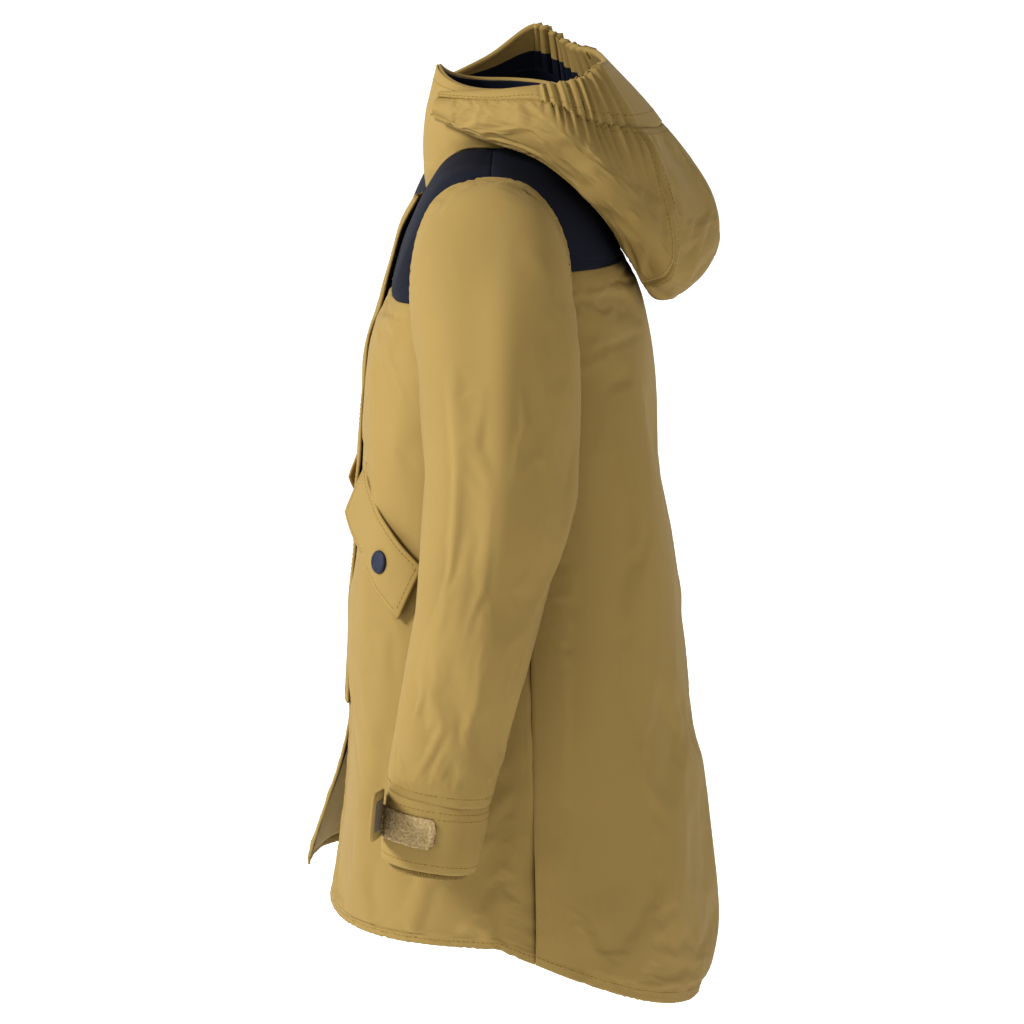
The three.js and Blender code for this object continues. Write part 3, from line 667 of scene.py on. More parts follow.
def new_material(name, colour, inputs):
    material = bpy.data.materials.new(name)
    material.use_nodes = True
    material.diffuse_color = (*colour, 1)
    shader = material.node_tree.nodes["Principled BSDF"]
    set_inputs(shader, inputs)
    return material, material.node_tree, shader


def add_node(tree, kind, inputs=None, **settings):
    node = tree.nodes.new(kind)
    for key, value in settings.items():
        setattr(node, key, value)
    set_inputs(node, inputs or {})
    return node


def wave(tree, direction, period):
    """Threads running one way over the flat cloth, `period` metres apart."""
    node = add_node(tree, "ShaderNodeTexWave", {"Scale": 2 * math.pi / (20 * period), "Distortion": 0.0},
                    bands_direction=direction, wave_profile="SIN")
    cloth = add_node(tree, "ShaderNodeTexCoord").outputs["UV"]
    tree.links.new(cloth, node.inputs["Vector"])
    return node.outputs["Fac"]


def noise(tree, scale, detail, roughness=0.5):
    """Speckle that is fixed to the object."""
    inputs = {"Scale": scale, "Detail": detail, "Roughness": roughness}
    node = add_node(tree, "ShaderNodeTexNoise", inputs)
    place = add_node(tree, "ShaderNodeTexCoord").outputs["Object"]
    tree.links.new(place, node.inputs["Vector"])
    return node.outputs["Fac"]


def math_node(tree, operation, a, b):
    node = add_node(tree, "ShaderNodeMath", operation=operation)
    for socket, value in zip(node.inputs, (a, b)):
        if isinstance(value, (int, float)):
            socket.default_value = value
        else:
            tree.links.new(value, socket)
    return node.outputs[0]


def mottled(tree, shader, colour, low, high, scale=9.0):
    """Slow colour variation over the object, between two shares of the colour."""
    share = math_node(tree, "MULTIPLY_ADD", noise(tree, scale, 3.0), 0.65)
    share.node.inputs[2].default_value = 0.17
    ramp = add_node(tree, "ShaderNodeValToRGB")
    for element, position, level in zip(ramp.color_ramp.elements, (0.3, 0.7), (low, high)):
        element.position = position
        element.color = (*[c * level for c in colour], 1)
    tree.links.new(share, ramp.inputs["Fac"])
    tree.links.new(ramp.outputs["Color"], shader.inputs["Base Color"])


def raise_relief(tree, shader, height, strength, distance):
    relief = add_node(tree, "ShaderNodeBump", {"Strength": strength, "Distance": distance})
    tree.links.new(height, relief.inputs["Height"])
    tree.links.new(relief.outputs["Normal"], shader.inputs["Normal"])


def woven(name, colour, thread=0.0005, roughness=0.62, sheen=0.02, bump=0.14, low=0.94, high=1.05):
    """A plain weave: threads crossing in the sheet's own directions."""
    material, tree, shader = new_material(name, colour, {
        "Roughness": roughness, "Sheen Weight": sheen, "Sheen Roughness": 0.45,
        "IOR": 1.2, "Specular IOR Level": 0.12})
    mottled(tree, shader, colour, low, high)
    weave = math_node(tree, "MULTIPLY", wave(tree, "X", thread), wave(tree, "Y", thread))
    height = math_node(tree, "ADD", weave, noise(tree, 420.0, 2.0))
    raise_relief(tree, shader, height, bump, 0.0004)
    return material


def ribbed(name, colour, pitch=0.0024):
    """A rib knit: raised lengthwise ribs with a fine knit on them."""
    material, tree, shader = new_material(name, colour, {
        "Roughness": 0.9, "Sheen Weight": 0.08, "Specular IOR Level": 0.12})
    mottled(tree, shader, colour, 0.85, 1.1)
    loops = math_node(tree, "MULTIPLY", wave(tree, "Y", pitch / 2), 0.3)
    height = math_node(tree, "ADD", wave(tree, "X", pitch), loops)
    height = math_node(tree, "ADD", height, noise(tree, 420.0, 2.0))
    raise_relief(tree, shader, height, 0.6, 0.0008)
    return material


def fuzzy(name, colour):
    """Either side of hook-and-loop tape: a dense, matted pile."""
    material, tree, shader = new_material(name, colour, {
        "Roughness": 1.0, "Sheen Weight": 0.12, "Sheen Roughness": 0.7, "Specular IOR Level": 0.1})
    mottled(tree, shader, colour, 0.62, 1.3, scale=520.0)
    raise_relief(tree, shader, noise(tree, 650.0, 4.0, 0.7), 0.9, 0.0012)
    return material


def moulded(name, colour, roughness, metallic=0.0, specular=0.5):
    """Smooth plastic or satin metal with faint scuffs."""
    material, tree, shader = new_material(name, colour, {
        "Roughness": roughness, "Metallic": metallic, "Specular IOR Level": specular})
    mottled(tree, shader, colour, 0.85, 1.15, scale=60.0)
    raise_relief(tree, shader, noise(tree, 900.0, 3.0), 0.15, 0.0003)
    return material


SHELL = woven("shell_mustard", MUSTARD)
YOKE = woven("shell_navy", NAVY, sheen=0.0, low=0.8, high=1.25)
LINING = woven("lining_navy", LINING_NAVY, thread=0.0006, roughness=0.42, sheen=0.05, bump=0.12)
PADDING = woven("padding", (0.78, 0.76, 0.70), thread=0.003, roughness=0.95, sheen=0.3, bump=0.5)
RIB = ribbed("rib_mustard", (0.22, 0.148, 0.045))
ELASTIC = ribbed("elastic", (0.55, 0.47, 0.32), pitch=0.0016)
TAPE = woven("tape_dark", (0.016, 0.017, 0.024), thread=0.0012, roughness=0.8, bump=0.5)
LOOP = fuzzy("loop_beige", LOOP_BEIGE)
# The hook pile's colour is the tape's beige darkened to painted shade, standing in for the shadow on the
# cuff tab's face.
HOOK_PAINTED_SHADE = fuzzy("hook_beige", (0.09, 0.062, 0.026))
SEWING = woven("thread_mustard", THREAD, thread=0.0004, roughness=0.55)
SEWING_NAVY = woven("thread_navy", (0.022, 0.026, 0.045), thread=0.0004, roughness=0.55)
SNAP_BLUE = moulded("snap_blue", (0.020, 0.024, 0.042), 0.5, specular=0.15)
STEEL = moulded("steel_satin", (0.30, 0.30, 0.32), 0.3, 0.9)
COIL = moulded("coil_black", (0.012, 0.012, 0.016), 0.4)

# What each slot is made of: the cloth, then the thread that it is sewn with.
FINISHES = {
    "shell": [SHELL, SEWING], "navy": [YOKE, SEWING_NAVY], "lining": [LINING, SEWING_NAVY],
    "tape": [TAPE, SEWING_NAVY], "padding": [PADDING], "rib": [RIB], "elastic": [ELASTIC],
    "coil": [COIL], "snap": [SNAP_BLUE], "metal": [STEEL],
}


# ---------------------------------------------------------------- camera, light and floor

def make_camera():
    az, el = math.radians(CAMERA["azimuth"]), math.radians(CAMERA["elevation"])
    back = np.array([math.sin(az) * math.cos(el), -math.cos(az) * math.cos(el), math.sin(el)])
    data = bpy.data.cameras.new("camera")
    data.lens = CAMERA_LENS
    data.sensor_width = 36
    camera = bpy.data.objects.new("camera", data)
    camera.location = np.array(CAMERA["aim"]) + back * CAMERA["distance"]
    camera.rotation_mode = "XYZ"
    camera.rotation_euler = (math.pi / 2 - el, 0, az)
    bpy.context.scene.collection.objects.link(camera)
    bpy.context.scene.camera = camera


def area_light(name, place, target, size, power):
    data = bpy.data.lights.new(name, "AREA")
    data.energy = power
    data.size = size
    light = bpy.data.objects.new(name, data)
    light.location = place
    aim = np.array(target) - np.array(place)
    tilt = math.atan2(math.hypot(aim[0], aim[1]), -aim[2])
    light.rotation_euler = (tilt, 0, math.atan2(aim[1], aim[0]) - math.pi / 2)
    bpy.context.scene.collection.objects.link(light)


def make_lights():
    middle = (0, 0, -0.25)
    area_light("key", (1.2, -2.6, 1.7), middle, 0.7, 118)
    area_light("rear", (-2.2, 1.8, 1.2), middle, 1.8, 9)
    world = bpy.data.worlds.new("studio")
    world.use_nodes = True
    tree = world.node_tree
    place = add_node(tree, "ShaderNodeTexCoord")
    split = add_node(tree, "ShaderNodeSeparateXYZ")
    sky = add_node(tree, "ShaderNodeMapRange", {
        "From Min": 0.12, "From Max": 0.4, "To Min": 1.1, "To Max": 0.45})
    tree.links.new(place.outputs["Generated"], split.inputs["Vector"])
    tree.links.new(split.outputs["Z"], sky.inputs["Value"])
    tree.links.new(sky.outputs["Result"], tree.nodes["Background"].inputs["Strength"])
    set_inputs(tree.nodes["Background"], {"Color": (1, 1, 1, 1)})
    bpy.context.scene.world = world
    bpy.context.scene.view_settings.view_transform = "Standard"
    bpy.context.scene.view_settings.look = "Medium High Contrast"


def make_floor():
    corners = [(x, y, FLOOR_Z) for x, y in ((-1, -1), (1, -1), (1, 1), (-1, 1))]
    mesh = bpy.data.meshes.new("floor")
    mesh.from_pydata([(x * FLOOR_HALF, y * FLOOR_HALF, z) for x, y, z in corners], [], [(0, 1, 2, 3)])
    material, _, _ = new_material("pale_floor", (0.86, 0.86, 0.86), {
        "Base Color": (0.8, 0.8, 0.8, 1), "Roughness": 0.9, "Specular IOR Level": 0.0,
        "Emission Color": (1, 1, 1, 1), "Emission Strength": 0.55})
    mesh.materials.append(material)
    floor = bpy.data.objects.new("floor", mesh)
    bpy.context.scene.collection.objects.link(floor)


make_camera()
make_lights()
make_floor()


# ---------------------------------------------------------------- shaping helpers

def seam_dip(grid, top=0.0, bottom=0.0, left=0.0, right=0.0, width=7.0):
    """Presses the sheet down beside its sewn edges, with small puckers along them."""
    wide, tall = grid.size
    sink = np.zeros(len(grid.points))
    across, along = grid.u * grid.across * wide, grid.v * grid.down * tall
    for depth, distance, running in (
        (top, along, across),
        (bottom, grid.down * tall - along, across),
        (left, across, along),
        (right, grid.across * wide - across, along),
    ):
        puckers = 1 + 0.22 * np.sin(running / 5.2 + 1.7 * np.sin(running / 31))
        sink -= depth * puckers * np.exp(-(distance / width) ** 2)
    return grid.lift(sink)


def hem_crease(grid):
    """The stitched line of the hem, pressed into the sheet."""
    distance = (1 - grid.v) * grid.down * grid.size[1] - HEM_DEPTH
    return grid.lift(-0.5 * np.exp(-(distance / 1.3) ** 2))


def folds(grid, where, shapes):
    """Lifts several folds: each a path seen square on, its width and its height."""
    for path, width, height in shapes:
        grid.lift(where * fold(grid.points, path, width, height))
    return grid


def cut_armholes(grid, sides=(1,)):
    """Takes the armholes out of the sheet and draws its edge to their outline."""
    quads, _ = grid.faces()

    def reach(points):
        across = np.abs(points[:, 1] - ARMHOLE["y"]) / ARMHOLE["half_width"]
        up = np.abs(points[:, 2] - ARMHOLE["z"]) / ARMHOLE["half_height"]
        return (across ** ARMHOLE["square"] + up ** ARMHOLE["square"]) ** (1 / ARMHOLE["square"])

    centres = grid.points[quads].mean(1)
    inside = np.zeros(len(quads), bool)
    for side in sides:
        inside |= (reach(centres) < 1) & (centres[:, 0] * side > 90)
    if inside.any():
        border = np.intersect1d(quads[inside], quads[~inside])
        scale = reach(grid.points[border])
        middle = np.array([ARMHOLE["y"], ARMHOLE["z"]])
        flat = grid.points[border][:, 1:] - middle
        grid.points[border, 1:] = middle + flat / scale[:, None]
    grid.keep = ~inside
    return grid


def pocket_place(points):
    """Where points of the body lie on the pocket: along the sewn edge, and away from it."""
    angle = np.degrees(np.arctan2(points[:, 0], MIDDLE_Y - points[:, 1]))
    offset = np.stack([angle - FLAP_SEWN[0][0], points[:, 2] - FLAP_SEWN[0][1]], 1)
    along = np.subtract(FLAP_SEWN[1], FLAP_SEWN[0])
    away = np.subtract(FLAP_FREE[0], FLAP_SEWN[0])
    return offset @ np.linalg.inv(np.array([along, away], float))


def cut_pocket_mouth(grid):
    quads, _ = grid.faces(whole=True)
    along, away = pocket_place(grid.points)[quads].mean(1).T
    grid.keep &= ~((along > 0.1) & (along < 0.9) & (away > 0.2) & (away < 0.46))
    return grid


def swing_forward(grid):
    """Below the zip the right front hangs further forward than the left one."""
    low = smoothstep(-grid.points[:, 2], -ZIP_END_Z, 510)
    inward = smoothstep(grid.points[:, 0], -195, -120)
    grid.points[:, 1] -= FRONT_SWING * low * inward
    return grid


# ---------------------------------------------------------------- body

def front_panel_grid(seed):
    grid = Grid(body_patch(level_of(FRONT_YOKE_Z - SEAM_GAP), constant(HEM),
                           front_edge, constant(SIDE_SEAM - 0.1)), 90, 150)
    seam_dip(grid, top=1.6, right=1.4, bottom=0.6, left=0.5)
    grid.lift(1.2 * unevenness(grid.points, 130, seed))
    hem_crease(grid)
    folds(grid, 1, [
        ([(-70, -300), (-78, -420), (-84, -500)], 16, 3.0),
        ([(-40, -360), (-44, -440), (-46, -505)], 14, 2.4),
        ([(-12, -470), (-14, -512)], 5, 1.6),
        ([(-88, -190), (-70, -250), (-58, -330)], 9, -1.4),
    ])
    held = edge_hold(grid, top=1, bottom=0.3, sides=1)
    return cut_pocket_mouth(cut_armholes(settle(grid, held, slack=0.012, cap=5.0)))


def make_fronts():
    left = front_panel_grid(3)
    for side, grid in (("left", left), ("right", swing_forward(mirror_grid(left)))):
        piece = Piece(f"front_panel_{side}").slab(grid, THICK["shell"])
        edge, inset = (0, -STITCH_INSET) if side == "left" else (-1, STITCH_INSET)
        piece.stitches(grid.line(row=-4))
        piece.stitches(grid.line(column=edge), inset=inset)
        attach(piece.build("shell"), "coat")


def make_yokes():
    grid = Grid(body_patch(constant(0), level_of(FRONT_YOKE_Z + SEAM_GAP),
                           front_edge, constant(SHOULDER_SEAM - 0.2)), 80, 60)
    seam_dip(grid, bottom=1.4, right=1.0, left=0.4)
    cut_armholes(grid)
    back = Grid(body_patch(constant(0), level_of(BACK_YOKE_Z + SEAM_GAP), constant(SHOULDER_SEAM + 0.2),
                           constant(360 - SHOULDER_SEAM - 0.2)), 170, 60)
    seam_dip(back, bottom=1.4, left=1.0, right=1.0)
    cut_armholes(back, (1, -1))
    for name, sheet in (("front_yoke_left", grid), ("front_yoke_right", mirror_grid(grid)),
                        ("back_yoke", back)):
        piece = Piece(name).slab(sheet, THICK["shell"])
        piece.stitches(sheet.line(row=-4))
        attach(piece.build("navy"), "coat")


def make_back():
    grid = Grid(body_patch(level_of(BACK_YOKE_Z - SEAM_GAP), constant(HEM),
                           constant(SIDE_SEAM + 0.1), constant(360 - SIDE_SEAM - 0.1)), 180, 160)
    seam_dip(grid, top=1.6, left=0.7, right=0.7, bottom=0.6)
    grid.lift(1.6 * unevenness(grid.points, 170, 11))
    hem_crease(grid)
    for side in (1, -1):
        folds(grid, np.where(grid.points[:, 0] * side > 20, 1.0, 0.0), [
            ([(30, -130), (52, -260), (62, -400)], 20, 3.2),
            ([(72, -120), (92, -300), (104, -480)], 20, 2.6),
            ([(20, -430), (26, -530)], 13, 2.6),
            ([(58, -470), (66, -556)], 15, 2.4),
        ])
    held = edge_hold(grid, top=1, bottom=0.3, sides=1)
    cut_armholes(settle(grid, held, slack=0.012, cap=5.0), (1, -1))
    piece = Piece("back_panel").slab(grid, THICK["shell"])
    piece.stitches(grid.line(row=-5))
    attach(piece.build("shell"), "coat")


def make_linings():
    top, bottom = constant(0.04), constant(HEM - 0.25)
    grid = Grid(body_patch(top, bottom, lambda level: front_edge(level) + 1,
                           constant(SIDE_SEAM - 0.7)), 60, 90)
    inside = np.minimum(np.minimum(1, 4 * grid.v), 5 * (1 - grid.v))
    depth = lerp(LINING_DEPTH["front_rim"], LINING_DEPTH["front"], inside)
    depth = lerp(LINING_DEPTH["front_edge"], depth, smoothstep(grid.u, 0, 0.25))
    grid.lift(-depth - 0.3 + 0.25 * unevenness(grid.points, 45, 5))
    cut_armholes(grid)
    for side, sheet in (("left", grid), ("right", swing_forward(mirror_grid(grid)))):
        facing = np.tile(np.arange(sheet.across), sheet.down)[sheet.keep]
        facing_columns = round(FACING / sheet.size[0])
        if side == "left":
            facing = facing < facing_columns
        else:
            facing = facing >= sheet.across - facing_columns
        piece = Piece(f"front_lining_{side}").slab(sheet, THICK["lining"]).cut_from(sheet)
        number = len(facing)
        for start in (0, number):
            piece.finishes[-1][start:start + number] = np.where(facing, 2, 0)
        piece.stitches(sheet.line(row=-3))
        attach(piece.build("lining", [LINING, SEWING_NAVY, SHELL]), "coat")
    back = Grid(body_patch(top, bottom, constant(SIDE_SEAM + 0.7),
                           constant(360 - SIDE_SEAM - 0.7)), 120, 90)
    back.lift(-LINING_DEPTH["back"] + 0.4 * unevenness(back.points, 60, 8))
    cut_armholes(back, (1, -1))
    piece = Piece("back_lining").slab(back, THICK["lining"]).cut_from(back)
    piece.stitches(back.line(row=-3))
    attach(piece.build("lining"), "coat")


def make_padding():
    """A quilted sheet of wadding between the back's shell and lining."""
    grid = Grid(body_patch(level_of(BACK_YOKE_Z - 8), constant(HEM - 0.3),
                           constant(SIDE_SEAM + 20), constant(360 - SIDE_SEAM - 20)), 110, 110)
    row = grid.v * grid.down * grid.size[1]
    puff = np.abs(np.sin(np.pi * row / QUILT_ROW)) ** 0.5
    grid.lift(-PADDING_DEPTH + 0.9 * puff)
    cut_armholes(grid, (1, -1))
    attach(Piece("back_padding").slab(grid, THICK["padding"]).build("padding"), "coat")


# ---------------------------------------------------------------- sleeves

TAB = {"length": 40, "width": 30, "behind": 2.2, "u": 0.79, "v": 0.34, "out": (0.99, -0.1, 0)}
RIB_COUNT = 73
# The ends of a slanting line from the armhole down the arm; no blend is made along it.
SLEEVE_BLEND = {"start": (0.130, -0.0135, -0.150), "end": (0.2145, -0.0135, -0.331)}


def make_sleeves():
    sleeve = Grid(sleeve_surface(0, CUFF_START - 0.004), 128, 210, wrapped=True)
    seam_dip(sleeve, top=0.7, bottom=1.0, width=6)
    sleeve.lift(1.1 * (1 - smoothstep(sleeve.v, 0.01, 0.06)))
    folds(sleeve, smoothstep(sleeve.points[:, 0], 196, 226), [
        ([(-2, -20), (-5, -79), (-7, -176), (-17, -299), (-33, -396)], 14, 6.0),
        ([(4, -22), (30, -50)], 7, 2.2),
        ([(8, -44), (36, -78)], 7, 2.0),
        ([(20, -90), (34, -150)], 8, -1.2),
    ])
    sleeve.lift(1.4 * unevenness(sleeve.points, 90, 21))
    held = np.maximum(edge_hold(sleeve, top=1, bottom=1, reach=0.05), 0.03)
    settle(sleeve, held, slack=0.03, cap=5.5, pressure=1.5)
    lining = Grid(sleeve_surface(0.45, WRIST - 0.35), 96, 120, wrapped=True)
    lining.lift(-LINING_DEPTH["sleeve"] + 0.3 * unevenness(lining.points, 40, 6))
    cuff = Grid(sleeve_surface(CUFF_START, WRIST), 128, 30, wrapped=True)
    seam_dip(cuff, top=1.0, bottom=0.8, width=4)
    cuff.lift(0.5 * unevenness(cuff.points, 35, 12))
    rib = Grid(sleeve_surface(WRIST - 0.3, WRIST + 0.06), 220, 14, wrapped=True)
    rib.lift(-6.1 + 0.55 * np.sin(2 * np.pi * rib.u * RIB_COUNT))
    for side, sign in SIDES:
        arm = f"sleeve_{side}"
        shell = Piece(arm).slab(sided(sleeve, sign), THICK["shell"])
        shell.stitches(sided(sleeve, sign).line(row=-4))
        mirrored_blend(shell.build("shell"), "coat", arm, sign, **SLEEVE_BLEND)
        inner = Piece(f"sleeve_lining_{side}").slab(sided(lining, sign), THICK["lining"])
        inner.cut_from(lining).stitches(sided(lining, sign).line(row=-3))
        mirrored_blend(inner.build("lining"), "coat", arm, sign, **SLEEVE_BLEND)
        band = Piece(f"cuff_{side}").slab(sided(cuff, sign), THICK["cuff"])
        for row in (3, 6, -4):
            band.stitches(sided(cuff, sign).line(row=row))
        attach(band.build("shell"), arm)
        knit = Piece(f"rib_cuff_{side}").slab(sided(rib, sign), THICK["rib"])
        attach(knit.build("rib"), arm)
        make_cuff_loop(side, sign)


def rounded_patch(surface, across, down, corner_u, corner_v):
    """A patch whose far-u end is rounded off."""
    def shaped(u, v):
        near_end = smoothstep(u, 1 - corner_u, 1)
        squeeze = np.sqrt(np.clip(1 - (near_end * 0.999) ** 2, 0, 1)) * (1 - corner_v) + corner_v
        return surface(u, 0.5 + (v - 0.5) * squeeze)
    return Grid(shaped, across, down)


def make_cuff_loop(side, sign):
    cuff = sleeve_surface(CUFF_START, WRIST)
    patch = rounded_patch(part(cuff, TAB["u"], 1.0, 0.22, 0.66), 60, 26, 0.12, 0.5)
    patch.lift(1.5)
    patch.lift(0.27 * np.random.default_rng(4).normal(size=len(patch.points)))
    loop = Piece(f"cuff_loop_{side}").slab(sided(patch, sign), THICK["cuff_loop"])
    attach(loop.build("fastener", [LOOP, SEWING]), f"sleeve_{side}")


# ---------------------------------------------------------------- cuff tabs

def surface_normal(surface, u, v):
    step = 1e-3
    u, v = np.array([u, u, u + step, u - step]), np.array([v + step, v - step, v, v])
    points = surface(u, v)
    normal = np.cross(points[0] - points[1], points[2] - points[3])
    return normal / np.linalg.norm(normal)


def tab_frame():
    cuff = sleeve_surface(CUFF_START, WRIST)
    top, bottom, at = cuff(np.full(3, TAB["u"]), np.array([0.1, 0.9, TAB["v"]]))
    down = (bottom - top) / np.linalg.norm(bottom - top)
    out = np.array(TAB["out"]) - down * np.dot(TAB["out"], down)
    out /= np.linalg.norm(out)
    root = at + surface_normal(cuff, TAB["u"], TAB["v"]) * 1.6
    return root, out, down, np.cross(out, down)


def tab_sheet(length, width, start, corner, lift):
    """A flat strip standing out along the tab's length, its far corners rounded, bent a little."""
    root, out, down, back = tab_frame()

    def surface(u, v):
        run = u * length
        past = np.clip((run - (length - corner)) / corner, 0, 1)
        half = width / 2 - corner * (1 - np.sqrt(1 - (past * 0.995) ** 2))
        bend = 1.6 * ((start + run) / TAB["length"]) ** 2
        return (root + np.outer(start + run, out) + np.outer((v - 0.5) * 2 * half, down)
                + np.outer(lift - bend + 0 * u, back))
    return Grid(surface, 44, 30)


def make_tabs():
    plate = tab_sheet(TAB["length"], TAB["width"], 1.5, 8, -TAB["behind"])
    hook = tab_sheet(26, 20, 10, 4, 0.4)
    root, out, _, _ = tab_frame()
    for side, sign in SIDES:
        cloth = sided(plate, sign)
        piece = Piece(f"cuff_tab_{side}").slab(cloth, THICK["cuff"])
        for row in (3, -4):
            piece.stitches(cloth.line(row=row, start=0.05, end=0.95))
        mirrored_blend(piece.build("shell"), f"sleeve_{side}", f"cuff_tab_{side}", sign,
                       root / 1000, (root + out * 6) / 1000)
        pile = Piece(f"cuff_hook_{side}").slab(sided(hook, sign), THICK["cuff_hook"], depth=-1.0)
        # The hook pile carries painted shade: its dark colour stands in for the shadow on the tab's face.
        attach(pile.build("fastener", [HOOK_PAINTED_SHADE]), f"cuff_tab_{side}")


# ---------------------------------------------------------------- collar

HANG_LOOP = {"half_width": 25.5, "drop": 13.5, "strip": 5, "y": 26.8, "z": 34}


def make_collar():
    grid = Grid(collar_surface, 190, 44)
    seam_dip(grid, bottom=1.0, left=0.5, right=0.5, width=5)
    grid.lift(1.0 * unevenness(grid.points, 50, 31))
    for side in (1, -1):
        folds(grid, np.where(grid.points[:, 0] * side > 2, 1.0, 0.0), [
            ([(-52, 34), (-34, 10), (-18, 4)], 7, 2.4),
            ([(-56, -10), (-44, -16), (-30, -8)], 6, 2.0),
        ])
    piece = Piece("collar").slab(grid, THICK["shell"])
    roll = Grid(part(collar_surface, 0, 1, 0, 0.07), 190, 8)
    piece.slab(roll.lift(-0.9), THICK["collar_roll"])
    piece.stitches(grid.line(row=4))
    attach(piece.build("shell"), "coat")
    inner = Grid(part(collar_surface, 0.01, 0.99, 0.02, 0.98), 150, 34)
    inner.lift(-LINING_DEPTH["collar"] + 0.25 * unevenness(inner.points, 30, 7))
    piece = Piece("collar_lining").slab(inner, THICK["soft_lining"]).cut_from(inner)
    piece.stitches(inner.line(row=3))
    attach(piece.build("lining"), "coat")


def make_hang_loop():
    half, drop, strip = (HANG_LOOP[key] for key in ("half_width", "drop", "strip"))
    corner = strip
    arc = [(-half + corner - corner * math.cos(a), -drop + corner - corner * math.sin(a))
           for a in np.linspace(0, math.pi / 2, 7)]
    path = [(-half, 0)] + arc
    path = np.array(path + [(-x, z) for x, z in path[::-1]])
    steps = np.concatenate([[0], np.cumsum(np.linalg.norm(np.diff(path, axis=0), axis=1))])

    def walk(at):
        return np.stack([np.interp(at, steps, path[:, k]) for k in range(2)], 1)

    def surface(u, v):
        at = u * steps[-1]
        ahead = walk(at + 0.5) - walk(at - 0.5)
        ahead /= np.linalg.norm(ahead, axis=1, keepdims=True)
        aside = np.stack([ahead[:, 1], -ahead[:, 0]], 1)
        x, z = (walk(at) - aside * ((0.5 - v) * strip)[:, None]).T
        return np.stack([x, np.full(len(u), HANG_LOOP["y"]), HANG_LOOP["z"] + z], 1)

    strap = Grid(surface, 90, 6)
    piece = Piece("hang_loop").slab(strap, THICK["hang_loop"])
    for end in (1, -2):
        piece.stitches(strap.line(column=end), pitch=1.2, length=0.9, radius=0.25)
    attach(piece.build("tape"), "coat")


# ---------------------------------------------------------------- zip and storm flap

def make_zip():
    tape = Grid(zip_strip(2.9, 15, ZIP_TOP_Z, ZIP_END_Z), 8, 160).lift(0.4)
    teeth = Grid(zip_strip(0.9, 2.5, ZIP_TOP_Z, ZIP_END_Z), 2, 160)
    for side, sign in SIDES:
        piece = Piece(f"zip_tape_{side}").slab(sided(tape, sign), THICK["tape"])
        sewn = sided(tape, sign).line(column=5 if sign > 0 else 3)
        piece.stitches(sewn, pitch=2.6, length=1.9, radius=0.22)
        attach(piece.build("tape"), "coat")
        coil = Piece(f"zip_coil_{side}")
        for column in (0, 1, 2):
            winding = sided(teeth, sign).line(column=column)
            coil.stitches(winding, finish=0, pitch=1.5, length=1.0, radius=0.62)
        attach(coil.build("coil"), "coat")


def make_storm_flap():
    flap = Grid(storm_surface, 40, 200)
    seam_dip(flap, left=0.6, right=0.4, bottom=0.4, width=4)
    free = smoothstep(flap.u, 0, 0.16)
    flap.lift(lerp(1.4, 4.6, free) + 0.7 * free * unevenness(flap.points, 60, 14))
    piece = Piece("storm_flap").slab(flap, THICK["storm_flap"])
    for line in (flap.line(column=5), flap.line(column=-6), flap.line(row=-5)):
        piece.stitches(line)
    obj = piece.build("shell")
    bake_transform(obj)
    share = STORM["pad_length"] / (STORM["top_z"] - ZIP_END_Z)
    for place, v in (("upper", 0.28), ("middle", 0.56), ("lower", 0.86)):
        spot = part(storm_surface, 0.75, 0.9375, v, v + share)
        for kind, lift, finish, body in (
            ("loop", 1.5, LOOP, "coat"),
            ("hook", 2.7, HOOK_PAINTED_SHADE, "storm_flap"),
        ):
            pad = Grid(spot, 14, 36).lift(lift)
            piece = Piece(f"storm_{kind}_{place}").slab(pad, THICK["fastener"])
            piece.stitches(pad.line(column=1)).stitches(pad.line(column=-2))
            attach(piece.build("fastener", [finish, SEWING]), body)


# ---------------------------------------------------------------- pockets

SNAP_PLACE = (0.68, 0.54)
SNAP_PROFILES = {
    "cap": [(0.01, 1.7), (5.2, 1.75), (5.7, 2.1), (6.6, 2.1), (7.5, 1.5), (7.8, 0.7), (7.7, 0), (0.01, 0)],
    "socket": [(0.01, 0.9), (5.0, 0.9), (5.2, 0.5), (5.1, 0), (2.4, 0), (2.2, 0.4), (0.01, 0.4)],
    "stud": [(0.01, 1.5), (1.7, 1.4), (2.0, 0.9), (1.9, 0.6), (4.3, 0.5), (4.4, 0.1), (0.01, 0)],
}


def flap_lift(u, v):
    return 5 + 9 * np.clip(1 - u / 0.45, 0, 1) * np.clip((v - 0.1) / 0.9, 0, 1)


def make_snap_part(name, place, normal, material_slot, body):
    """A lathe-turned disc standing on the cloth, from its profile of radii and heights."""
    aside = np.cross(normal, (0, 0, 1.0))
    aside /= np.linalg.norm(aside)
    up = np.cross(aside, normal)
    profile = np.array(SNAP_PROFILES[name], float)

    def surface(u, v):
        at = v * (len(profile) - 1)
        radius, height = (np.interp(at, np.arange(len(profile)), profile[:, k]) for k in range(2))
        angle = 2 * np.pi * u
        return (place + np.outer(radius * np.cos(angle), aside)
                + np.outer(radius * np.sin(angle), up) + np.outer(height, normal))

    turned = Grid(surface, 40, 26, wrapped=True)
    quads, uvs = (np.roll(corners[:, ::-1], 1, axis=1) for corners in turned.faces())
    side = "left" if place[0] > 0 else "right"
    piece = Piece(f"pocket_snap_{name}_{side}")
    piece.add(turned.points, quads, uvs, 0)
    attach(piece.build(material_slot), body)


